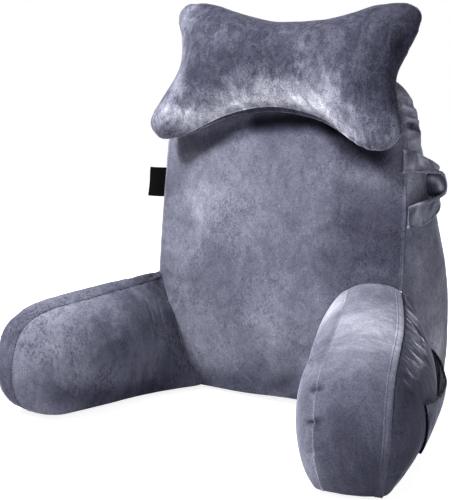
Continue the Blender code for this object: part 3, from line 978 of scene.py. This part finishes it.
def add_stage():
    """A pale floor and a white room. The camera sees both brighter than they light the object."""
    mesh = bpy.data.meshes.new("floor")
    corners = [(x * FLOOR_HALF, y * FLOOR_HALF, 0) for x, y in ((-1, -1), (1, -1), (1, 1), (-1, 1))]
    mesh.from_pydata(corners, [], [(0, 1, 2, 3)])
    floor = linked("floor", mesh)
    paint, tree, shader = new_look("pale_floor", roughness=0.9, specular=0.5)
    shader.inputs["Base Color"].default_value = (0.8, 0.8, 0.8, 1)
    seen = node(tree, "ShaderNodeLightPath").outputs["Is Camera Ray"]
    glow = node(tree, "ShaderNodeEmission", Strength=result(tree, "MULTIPLY", seen, FLOOR_LIFT))
    both = node(tree, "ShaderNodeAddShader")
    for socket, source in zip(both.inputs, (shader, glow)):
        tree.links.new(source.outputs[0], socket)
    tree.links.new(both.outputs[0], tree.nodes["Material Output"].inputs["Surface"])
    mesh.materials.append(paint)
    world = bpy.data.worlds.new("studio")
    bpy.context.scene.world = world
    world.use_nodes = True
    tree = world.node_tree
    seen = node(tree, "ShaderNodeLightPath").outputs["Is Camera Ray"]
    shade = result(tree, "MULTIPLY_ADD", seen, 1.0 - AMBIENT, AMBIENT)
    tree.links.new(shade, tree.nodes["Background"].inputs["Strength"])
    tree.nodes["Background"].inputs["Color"].default_value = (1, 1, 1, 1)
    for lamp in LAMPS:
        add_light(**lamp)
    bpy.context.scene.view_settings.view_transform = "Standard"


def dressed(obj, name, look, body=None):
    """Gives a cloth piece its velour, its painted light and shade, and its place in the frame."""
    obj.data.materials.clear()
    obj.data.materials.append(velour("velour_" + name, look))
    paint_nap_and_light(obj, look, body)
    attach(obj, "root")


def cushion(name, built, wall, extra=None):
    """Swells one cushion, rounds it, sets it against its neighbour and draws in its seams.

    Returns the object and its seam lines, and last the line of the extra points if there are any.
    """
    obj, front, rear, loops = built
    points = coordinates(obj)
    resting = np.where(points[:, 2] < HELD_BELOW)[0]
    held = set(np.concatenate([resting, loops[0], loops[-1]]).tolist())
    swelled(obj, held, **BLOWN[name])
    seams = [loops[0]] if len(loops) == 2 else [loops[0], loops[-1]]
    rounded_up(obj, [edge for loop in seams for edge in loop_edges(loop)])
    for k, loop in enumerate(seams):
        relief = SEAM_RELIEF[name]
        seam_relief(obj, coordinates(obj)[loop],
                    {**relief, "valley": relief["valleys"][k], "seed": 10 * k + len(name)})
    creased(obj, CREASES.get(name, ()))
    points = coordinates(obj)
    lines = [{"path": points[loop], "panel": points[rim_inside(grid)], "band": points[beside]}
             for loop, grid, beside in zip(seams, (front, rear), (loops[1], loops[-2]))]
    if extra is not None:
        lines.append({"path": points[extra]})
    if wall is not None:
        cut_away(obj, wall, NEIGHBOUR_GAP)
        tree = surface_of(wall)
        for line in lines:
            line["clear"] = np.array([clearance(tree, p)[2] > TRIM_CLEAR for p in line["path"]])
    dressed(obj, name, LOOKS[name])
    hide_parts(name)
    return obj, lines


def longest_run(keep):
    """The indices of the longest run of true values around a loop, and whether it is the whole loop."""
    if keep.all():
        return np.arange(len(keep)), True
    first = int(np.argmin(keep))
    order = np.roll(np.arange(len(keep)), -first)
    best, run = [], []
    for i in order:
        run = run + [i] if keep[i] else []
        if len(run) > len(best):
            best = run
    return np.array(best), False


def seam_trim(name, owner, body, seam, felled):
    """The raised line of a seam: a fine ridge, or the wide fold of a felled seam with its row of stitches."""
    at, closed = longest_run(seam.get("clear", np.ones(len(seam["path"]), bool)))
    path = seam["path"][at]
    over = seam[felled or "panel"][at]
    narrow = SEAM_TONES[owner]["narrow"]
    section = [(away * narrow, height) for away, height in FELLED] if felled else RIDGE
    # the gain lightens most ridges and folds as a painted highlight, and darkens the left arm's ridge
    gain = SEAM_TONES[owner]["felled" if felled else "ridge"]
    look = trim_look(owner, BAND if felled == "band" else FRONT, gain)
    dressed(tube(name, laid_along(body, path, over, section, closed), closed), name, look, body)
    if felled:
        row = ((STITCH["away"] * narrow, STITCH["height"]),)
        line = np.array(laid_along(body, path, over, row, closed))[:, 0]
        at, _ = longest_run(line[:, 2] > FLOOR_CLEAR)
        thread = stitches(name + "_stitches", line[at], STITCH["length"], STITCH["pitch"], STITCH["radius"])
        dressed(thread, name + "_thread", LOOKS["thread"])


def build_under_line(neck, path):
    """The fine seam along the underside of the neck pillow."""
    beyond = path + np.array((0.0, 0.01, 0.0))
    x = path[:, 0]
    middle = (x > x.min() + UNDER_LINE["short"]) & (x < x.max() - UNDER_LINE["short"])
    # the under seam is lightened as a painted highlight along its ridge
    look = trim_look("neck_pillow", FRONT, SEAM_TONES["neck_pillow"]["under"])
    rings = laid_along(neck, path[middle], beyond[middle], [(a * UNDER_LINE["narrow"], h) for a, h in RIDGE],
                       False)
    dressed(tube("neck_under_seam", rings, False), "neck_under_seam", {**look, "nap_and_light_patches": ()})


def trim_look(owner, panel, gain):
    """The look of the panel that a trim lies on, lighter by a gain above 1 as a painted highlight, darker by
    a gain below 1.
    """
    look = LOOKS[owner]
    return {**look, "tones": (look["tones"][panel] * gain,) * 3, "sheen": look["sheen"] * min(1, gain),
            "nap_and_light_patches": [{**row, "panel": FRONT} for row in look["nap_and_light_patches"] if row["panel"] == panel]}


def build_strap(back):
    """A soft loop through its two edges, its roots drawn to the back where they are sewn in."""
    edge = BACK_SIDE_CORNERS[1]["x"]
    knots = {"front": [], "rear": []}
    for row in STRAP_ROWS:
        for side, points in knots.items():
            spot, way = pixel_way(row[side])
            points.append(np.array(spot + way * ((edge + row[side + "_out"] - spot.x) / way.x)))
    across = np.linspace(-1, 1, STRAP["across"])[:, None]
    rows = []
    for k in range((len(STRAP_ROWS) - 1) * STRAP["along"] + 1):
        i = min(k // STRAP["along"], len(STRAP_ROWS) - 2)
        front, rear = (spline_at(knots[side], i, k / STRAP["along"] - i) for side in ("front", "rear"))
        rows.append(0.5 * (front + rear) + 0.5 * across * (rear - front))
    grid = np.array(rows)
    tree = surface_of(back)
    for k in range(STRAP["root_rows"]):
        share = (1 - k / STRAP["root_rows"]) ** 1.5
        for row in (grid[k], grid[-1 - k]):
            _, normal, clear = min((clearance(tree, point) for point in row), key=lambda found: found[2])
            row -= share * (clear - STRAP["root_clear"]) * np.array(normal)
    v = np.abs(across[:, 0][None, :])
    hem = STRAP["hem"] * bell(v - STRAP["hem_at"], 0.10, 4)
    groove = STRAP["groove"] * bell(v - STRAP["groove_at"], 0.05)
    made = sheet("side_strap", grid, STRAP["half"] + hem - groove)
    dressed(made, "side_handle", LOOKS["side_handle"])
    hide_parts("side_handle")


def build_pocket(arm, row):
    """The pocket lies on the arm's outer side, its mouth pulled open."""
    forward, outward = arm_axes(row["side"], row["splay_deg"])
    origin = PLACE + np.array((row["side"] * row["root_x"], 0, 0))
    tree = surface_of(arm)
    n_along, n_up = POCKET["along"], POCKET["up"]
    grid = np.zeros((n_along, n_up, 3))
    for i in range(n_along):
        u = i / (n_along - 1)
        ahead = POCKET["back"] + (POCKET["front"] - POCKET["back"]) * u
        mouth = POCKET["mouth_back"] + (POCKET["mouth_front"] - POCKET["mouth_back"]) * u
        low = POCKET["low_back"] + (POCKET["low_front"] - POCKET["low_back"]) * u ** 2
        for j in range(n_up):
            v = j / (n_up - 1)
            start = origin + forward * ahead + outward * POCKET["from"]
            start[2] += low + (mouth - low) * v
            spot, normal, _, _ = tree.ray_cast(Vector(start), Vector(-outward))
            lift = math.sin(math.pi * u) ** 0.8 * v ** 2.5 * POCKET["gape"]
            fold = POCKET["fold"] * math.sin(21 * u + 5 * v) * math.sin(math.pi * u) * v
            off = POCKET["clear"] + POCKET["half"] + max(0.0, fold)
            grid[i, j] = spot + normal * off + Vector(outward * lift)
            grid[i, j, 2] -= POCKET["sag"] * math.sin(math.pi * u) * v * v
    v = np.linspace(0, 1, n_up)[None, :]
    u = np.linspace(0, 1, n_along)[:, None]
    hem = bell(v - 0.96, 0.06, 4) + bell(u - 0.99, 0.02, 4)
    made = sheet("outer_pocket", grid, POCKET["half"] + POCKET["hem"] * np.minimum(1, hem))
    dressed(made, "arm_pocket", LOOKS["arm_pocket"])
    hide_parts("arm_pocket")


def build_label():
    """A blank tab that stands out of the left front seam, with a bead along its free edges."""
    root = np.array((-LABEL["root_x"], BACK_LEAN * LABEL["z"], LABEL["z"])) + PLACE
    along_seam = np.array((LABEL["lean"], BACK_LEAN * LABEL["tall"], LABEL["tall"]))
    n = LABEL["points"]
    grid = np.zeros((n, n, 3))
    for i in range(n):
        out = i / (n - 1)
        for j in range(n):
            v = j / (n - 1) - 0.5
            x = -(LABEL["wide"] + LABEL["tip"]) * out
            y = -LABEL["bow"] * math.sin(math.pi * out) + LABEL["ripple"] * math.sin(7 * v + 2 * out) * out
            grid[i, j] = root + along_seam * v + np.array((x, y, 0.0))
    u, v = np.linspace(0, 1, n)[:, None], np.linspace(0, 1, n)[None, :]
    edge_of = np.minimum(np.minimum(v, 1 - v) * LABEL["tall"], (1 - u) * LABEL["wide"])
    made = sheet("side_tab", grid, LABEL["half"] * (0.8 + 0.7 * bell(edge_of, LABEL["bead"])))
    made.data.materials.append(woven("woven_tape"))
    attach(made, "root")
    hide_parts("side_label")


def crease(start, end, depth, wide, bow=0.0):
    """A row of the creases: its two pixels, how deep and wide it is, and how far it bows for its length."""
    return {"from": start, "to": end, "depth": depth, "wide": wide, "bow": bow}


def patch(panel, *px, reach, tone, edge=2, ragged=0.0):
    """A row of the patches of painted light and shade: a line of pixels, how far the tone reaches from it and
    how sharply it ends.
    """
    return {"panel": panel, "px": px, "reach": reach, "tone": tone, "edge": edge, "ragged": ragged}


# cloth: pressure, share by which the cloth outgrows its pattern, and the furthest that a point may move
BLOWN = {
    "backrest": {"push": 1.6, "growth": 0.008, "most": 0.008},
    "arm_left": {"push": 2.5, "growth": 0.008, "most": 0.009},
    "arm_right": {"push": 2.5, "growth": 0.006, "most": 0.009},
    "neck_pillow": {"push": 3.0, "growth": 0.006, "most": 0.010},
}

# how deep each seam lies and how wide its valley is, and how its gathers stand, reach and follow each other
SEAM_RELIEF = {
    "backrest": {"valleys": (0.0006, 0.0020), "width": 0.004, "gather": 0.0012, "reach": 0.018,
                 "pitch": 0.012},
    "arm_left": {"valleys": (0.0008, 0.0006), "width": 0.002, "gather": 0.0018, "reach": 0.010,
                 "pitch": 0.007},
    "arm_right": {"valleys": (0.0012, 0.0006), "width": 0.004, "gather": 0.0015, "reach": 0.014,
                  "pitch": 0.010},
    "neck_pillow": {"valleys": (0.0008,), "width": 0.004, "gather": 0.0018, "reach": 0.016, "pitch": 0.008,
                    "scallop": 0.003},
}

# sections across a seam: how far away from its line, and how high off the cushion
RIDGE = ((-0.0016, -0.0004), (-0.0009, 0.0006), (0.0, 0.0011), (0.0009, 0.0006), (0.0016, -0.0004))
FELLED = ((-0.0016, -0.0006), (-0.0012, 0.0010), (0.0002, 0.0018), (0.0025, 0.0013), (0.0058, 0.0010),
          (0.0072, 0.0004), (0.0086, 0.0009), (0.0096, -0.0006), (0.004, -0.0010))
# the seam under the neck pillow stops this short of both ends, and is this share of a ridge wide
UNDER_LINE = {"short": 0.05, "narrow": 0.8}
STITCH = {"away": 0.0072, "height": 0.0006, "length": 0.0030, "pitch": 0.0046, "radius": 0.00035}
# where along a stitch its rings lie, and how thick it is there
THREAD_RINGS = ((-0.08, 0.35), (0.1, 0.9), (0.5, 1.0), (0.9, 0.9), (1.08, 0.35))
THREAD_SIDES = 6
# how much lighter than its panel a seam's ridge or felled fold is, a painted highlight where it catches the
# light, and how narrow the fold is; the left arm's ridge is darker than its panel, and under is the neck's
# under seam
SEAM_TONES = {
    "backrest": {"ridge": 1.2, "felled": 1.45, "narrow": 0.6},
    "arm_left": {"ridge": 0.25, "felled": 1.1, "narrow": 1.0},
    "arm_right": {"ridge": 1.4, "felled": 1.15, "narrow": 1.0},
    "neck_pillow": {"ridge": 1.5, "felled": 1.0, "narrow": 1.0, "under": 3.2},
}

# creases by pixel of the photograph, at how many points each is pressed in, and how much ridge it raises
CREASE_POINTS = 25
CREASE_RIDGE = 0.8
CREASES = {
    "arm_left": (
        crease((16, 350), (64, 388), depth=0.0016, wide=0.0034),
        crease((16, 360), (82, 401), depth=0.0020, wide=0.0034),
        crease((17, 372), (66, 404), depth=0.0018, wide=0.0034),
        crease((18, 384), (52, 408), depth=0.0018, wide=0.0034),
        crease((28, 352), (92, 396), depth=0.0016, wide=0.0034),
        crease((40, 352), (112, 393), depth=0.0012, wide=0.0034),
        crease((88, 306), (101, 318), depth=0.0016, wide=0.0034),
        crease((146, 296), (156, 332), depth=0.0012, wide=0.004),
        crease((155, 292), (167, 336), depth=0.0014, wide=0.004),
        crease((172, 352), (150, 368), depth=0.0014, wide=0.004),
        crease((180, 374), (154, 384), depth=0.0014, wide=0.004),
    ),
    "backrest": (
        crease((176, 345), (192, 382), depth=0.0036, wide=0.006),
        crease((184, 336), (202, 380), depth=0.0030, wide=0.006),
        crease((170, 318), (182, 352), depth=0.0028, wide=0.006),
        crease((194, 350), (212, 384), depth=0.0020, wide=0.006),
        crease((400, 98), (416, 106), depth=0.0080, wide=0.006),
        crease((402, 110), (418, 116), depth=0.0095, wide=0.006),
        crease((406, 124), (421, 128), depth=0.0130, wide=0.007),
        crease((406, 137), (419, 134), depth=0.0090, wide=0.006),
        crease((410, 262), (440, 272), depth=0.0020, wide=0.007),
        crease((408, 240), (432, 250), depth=0.0018, wide=0.007),
    ),
    "arm_right": (
        crease((304, 346), (316, 374), depth=0.0024, wide=0.0045),
        crease((311, 336), (322, 362), depth=0.0020, wide=0.0045),
        crease((300, 372), (314, 388), depth=0.0018, wide=0.0045),
        crease((310, 390), (326, 388), depth=0.0040, wide=0.0045),
        crease((305, 424), (322, 421), depth=0.0040, wide=0.0045),
        crease((308, 455), (322, 450), depth=0.0026, wide=0.0045),
        crease((404, 296), (436, 345), depth=0.0008, wide=0.0045, bow=-0.12),
        crease((402, 304), (432, 352), depth=0.0008, wide=0.0045, bow=-0.12),
        crease((400, 313), (424, 350), depth=0.0008, wide=0.0045, bow=-0.12),
        crease((384, 478), (404, 474), depth=0.0018, wide=0.0045),
        crease((388, 432), (404, 430), depth=0.0012, wide=0.0045),
    ),
    "neck_pillow": (
        crease((162, 132), (172, 120), depth=0.0008, wide=0.0045),
        crease((172, 136), (178, 122), depth=0.0010, wide=0.0045),
        crease((354, 143), (353, 128), depth=0.0022, wide=0.0036),
        crease((363, 147), (360, 131), depth=0.0026, wide=0.0036),
        crease((371, 149), (367, 133), depth=0.0026, wide=0.0036),
        crease((379, 148), (373, 134), depth=0.0026, wide=0.0036),
        crease((387, 144), (379, 132), depth=0.0026, wide=0.0036),
        crease((394, 138), (384, 128), depth=0.0022, wide=0.0036),
    ),
}

SLATE = (0.108, 0.110, 0.148)
# how much lighter the nap gets for each whole step of its level, and how the blue follows the shade
NAP_CONTRAST = 4.0
BLUE_POWER = 0.88
# the layers of noise in the pile: how fine, detailed, rough and twisted each is, the levels that it is spread
# between, and the lowest value it gives. where says where the flecks lie
NAP_LAYERS = {
    "broad": {"scale": 6.0, "detail": 2.0, "rough": 0.5, "twist": 0.3,
              "low": 0.15, "high": 0.85, "bottom": -0.5},
    "cloud": {"scale": 22.0, "detail": 4.0, "rough": 0.55, "bottom": -0.5},
    "streak": {"scale": 60.0, "detail": 4.0, "rough": 0.6, "twist": 0.8,
               "low": 0.25, "high": 0.75, "bottom": -0.5},
    "patch": {"scale": 150.0, "detail": 3.0, "rough": 0.6, "twist": 0.5,
              "low": 0.2, "high": 0.8, "bottom": -0.5},
    "where": {"scale": 16.0, "detail": 3.0, "rough": 0.6, "twist": 1.0,
              "low": 0.46, "high": 0.62, "bottom": 0.0},
    "fleck": {"scale": 300.0, "detail": 2.0, "rough": 0.6, "twist": 0.3,
              "low": 0.36, "high": 0.52, "bottom": -1.0},
    "grain": {"scale": 520.0, "detail": 1.0, "rough": 0.5, "twist": 0.0,
              "low": 0.32, "high": 0.58, "bottom": -1.0},
}
# a look: the way the pile is brushed, the share of each layer of noise, a tone for each panel, and patches of
# painted light and shade over the nap's own lay
PLAIN = {"colour": SLATE, "sheen": 0.7, "shift": 0.0, "brush_deg": 20, "stroke": 0.8, "broad": 0.9,
         "cloud": 0.16, "cloud_edge": 0.26, "swirl": 2.0, "streak": 0.10, "patch": 0.22, "fleck": 0.26,
         "grain": 0.27, "tones": (1.0, 1.0, 1.0), "nap_and_light_patches": ()}
LOOKS = {
    # the backrest's gusset tone is raised as painted light on its side that the key leaves in shade
    "backrest": {**PLAIN, "tones": (1.17, 1.1, 1.9), "nap_and_light_patches": (
        # painted shadow under the neck pillow, darkest in the middle and under its right lobe
        patch(FRONT, (184, 145), (205, 142), (230, 134), (255, 126), (285, 122), (315, 123), (335, 128),
              reach=0.015, tone=0.5, edge=4, ragged=0.002),
        patch(FRONT, (258, 123), (285, 121), (310, 121), (332, 127), reach=0.012, tone=0.14),
        patch(FRONT, (336, 130), (348, 144), (362, 152), (376, 154), reach=0.018, tone=0.10),
        # painted shade along the foot of the front panel
        patch(FRONT, (200, 383), (290, 386), reach=0.030, tone=0.42),
        # painted light on the front panel's left and middle and by the left arm's root, painted shade on its
        # right, under the neck pillow and by the right arm's foot
        patch(FRONT, (205, 215), reach=0.11, tone=1.15),
        patch(FRONT, (385, 220), reach=0.10, tone=0.5),
        patch(FRONT, (250, 325), reach=0.12, tone=1.2),
        patch(FRONT, (290, 150), reach=0.05, tone=0.8),
        patch(FRONT, (285, 380), reach=0.05, tone=0.6),
        patch(FRONT, (190, 345), (202, 384), reach=0.03, tone=1.25),
        # painted highlight along the gusset's right edge
        patch(BAND, (440, 300), (440, 335), reach=0.05, tone=1.6),
        # painted highlights and painted shade on the puckers at the top of the gusset
        patch(BAND, (400, 94), (409, 100), reach=0.006, tone=1.5),
        patch(BAND, (401, 104), (412, 109), reach=0.006, tone=1.6),
        patch(BAND, (404, 118), (414, 120), reach=0.006, tone=1.5),
        patch(BAND, (411, 124), (417, 130), reach=0.007, tone=0.25),
        patch(BAND, (409, 137), (414, 139), reach=0.006, tone=1.5))},
    "arm_left": {**PLAIN, "shift": 1.3, "brush_deg": -35, "stroke": 0.5, "streak": 0.16, "fleck": 0.42,
                 "tones": (1.05, 0.9, 0.8), "nap_and_light_patches": (
        # painted light at the nose of the inner panel; painted shade along its top, towards the back, and
        # along the foot of the panel and the band
        patch(FRONT, (60, 350), reach=0.07, tone=1.55),
        patch(FRONT, (105, 310), (160, 296), reach=0.05, tone=0.66),
        patch(FRONT, (140, 345), (165, 375), reach=0.06, tone=0.66),
        patch(FRONT, (80, 400), reach=0.05, tone=0.75),
        patch(FRONT, (62, 396), (165, 388), reach=0.020, tone=0.5),
        patch(BAND, (62, 405), (165, 396), reach=0.025, tone=0.45))},
    # the right arm's outer panel tone is low as painted shade on the side away from the key
    "arm_right": {**PLAIN, "shift": 2.1, "brush_deg": 80, "stroke": 0.4, "streak": 0.14, "fleck": 0.15,
                  "patch": 0.16, "tones": (1.1, 0.42, 1.0), "nap_and_light_patches": (
        # painted highlights on the tops of the band and of the inner panel
        patch(BAND, (385, 288), (352, 292), (352, 335), reach=0.090, tone=2.15, edge=3),
        patch(FRONT, (333, 304), (316, 332), reach=0.070, tone=3.4),
        # painted shade low on the band and the inner panel, and in two creases of the inner side
        patch(BAND, (350, 465), (350, 490), reach=0.085, tone=0.4),
        patch(FRONT, (303, 410), (308, 480), reach=0.045, tone=0.7),
        patch(BAND, (319, 390), reach=0.006, tone=0.4),
        patch(FRONT, (314, 390), reach=0.005, tone=0.4),
        patch(BAND, (317, 423), reach=0.006, tone=0.4),
        patch(FRONT, (311, 423), reach=0.005, tone=0.4),
        # painted shade inside the pocket's mouth
        patch(REAR, (427, 402), (436, 402), (443, 396), (447, 384), reach=0.007, tone=0.3),
        # painted light on the inner and outer panels
        patch(FRONT, (308, 370), reach=0.06, tone=1.2),
        patch(REAR, (432, 350), (428, 385), reach=0.020, tone=1.1, ragged=0.006),
        # painted shade on the outer panel along its seam with the band and near its top
        patch(REAR, (412, 300), (402, 330), (396, 380), reach=0.030, tone=0.6, ragged=0.004),
        patch(REAR, (414, 296), (428, 312), (436, 332), reach=0.016, tone=0.6))},
    "neck_pillow": {**PLAIN, "shift": 3.7, "brush_deg": 30, "stroke": 0.6, "broad": 0.6, "cloud": 0.28,
                    "cloud_edge": 0.16, "swirl": 3.0, "streak": 0.15, "patch": 0.32, "fleck": 0.3,
                    "grain": 0.40, "tones": (0.43, 0.42, 1.0), "nap_and_light_patches": (
        # painted sheen highlight along the lower edge, together with the nap's lighter lay there
        patch(FRONT, (160, 130), (185, 119), (212, 108), (240, 97), (270, 90), (300, 91), (325, 101),
              (345, 118), (360, 134), (380, 142), reach=0.036, tone=4.1, edge=3, ragged=0.012),
        patch(FRONT, (190, 124), (215, 115), (240, 109), (265, 106), (290, 106), (315, 112), (335, 124),
              (350, 138), reach=0.022, tone=2.2, ragged=0.003),
        patch(FRONT, (238, 102), (265, 98), (292, 98), (316, 106), reach=0.024, tone=2.0, ragged=0.004),
        # painted shade on both lobes, and a painted light spot beside the left one
        patch(FRONT, (160, 128), reach=0.024, tone=0.8),
        patch(FRONT, (350, 128), (368, 140), reach=0.022, tone=0.75),
        patch(FRONT, (168, 125), reach=0.036, tone=0.45),
        patch(FRONT, (196, 112), (206, 116), reach=0.020, tone=1.35, ragged=0.004),
        # painted highlights along the upper left edge and near the top
        patch(FRONT, (186, 10), (183, 40), (180, 70), (172, 95), (163, 112), reach=0.024, tone=3.2,
              ragged=0.008),
        patch(FRONT, (200, 22), (215, 34), reach=0.020, tone=1.5, ragged=0.008),
        patch(FRONT, (285, 32), (300, 44), reach=0.018, tone=1.4, ragged=0.008),
        patch(FRONT, (320, 60), (335, 75), reach=0.022, tone=1.5, ragged=0.008),
        # painted shade on the right side
        patch(FRONT, (398, 50), (400, 90), reach=0.02, tone=0.7),
        patch(FRONT, (410, 30), reach=0.04, tone=0.7))},
    # the strap's inner face tone is low as painted shade inside the loop
    "side_handle": {**PLAIN, "shift": 5.1, "brush_deg": 40, "stroke": 0.5, "cloud": 0.7, "streak": 0.4,
                    "sheen": 1.0, "tones": (1.75, 0.6, 1.0), "nap_and_light_patches": (
        # painted highlights on the upper band and inside the loop, painted shade at the root and the far end
        patch(OUTER, (411, 166), (424, 160), reach=0.005, tone=1.8),
        patch(OUTER, (410, 153), (414, 152), reach=0.005, tone=0.5),
        patch(OUTER, (440, 168), (432, 164), reach=0.006, tone=0.6),
        patch(INNER, (432, 178), (438, 182), (440, 188), reach=0.0060, tone=5.0),
        patch(OUTER, (431, 208), (436, 200), reach=0.004, tone=0.4),
        patch(OUTER, (412, 214), (416, 208), reach=0.004, tone=0.5))},
    # the first face's near-black tone is painted shade in the gap inside the pocket's mouth
    "arm_pocket": {**PLAIN, "shift": 6.4, "cloud": 0.5, "tones": (0.03, 0.7, 0.8), "nap_and_light_patches": (
        # painted highlight across the pocket's cloth
        patch(INNER, (440, 402), (428, 440), reach=0.008, tone=1.8),
        patch(INNER, (423, 403), (421, 455), reach=0.006, tone=0.5))},
    "thread": {**PLAIN, "shift": 9.0, "tones": (0.35, 0.35, 0.35)},
}

add_camera()
add_stage()
back, seams = cushion("backrest", build_back(), None)
seam_trim("back_front_seam", "backrest", back, seams[0], "panel")
seam_trim("back_rear_seam", "backrest", back, seams[1], "")
for row in ARM_SIDES:
    arm, seams = cushion(row["name"], build_arm(**row), back)
    seam_trim(row["name"] + "_inner_seam", row["name"], arm, seams[0], "")
    seam_trim(row["name"] + "_outer_seam", row["name"], arm, seams[1], "band")
    if row["side"] > 0:
        build_pocket(arm, row)
built = build_neck()
under = built[2][NECK_UNDER_ROW]
neck, seams = cushion("neck_pillow", built, back, under)
under = seams.pop()["path"]
seam_trim("neck_seam", "neck_pillow", neck, seams[0], "")
build_under_line(neck, under)
build_strap(back)
build_label()
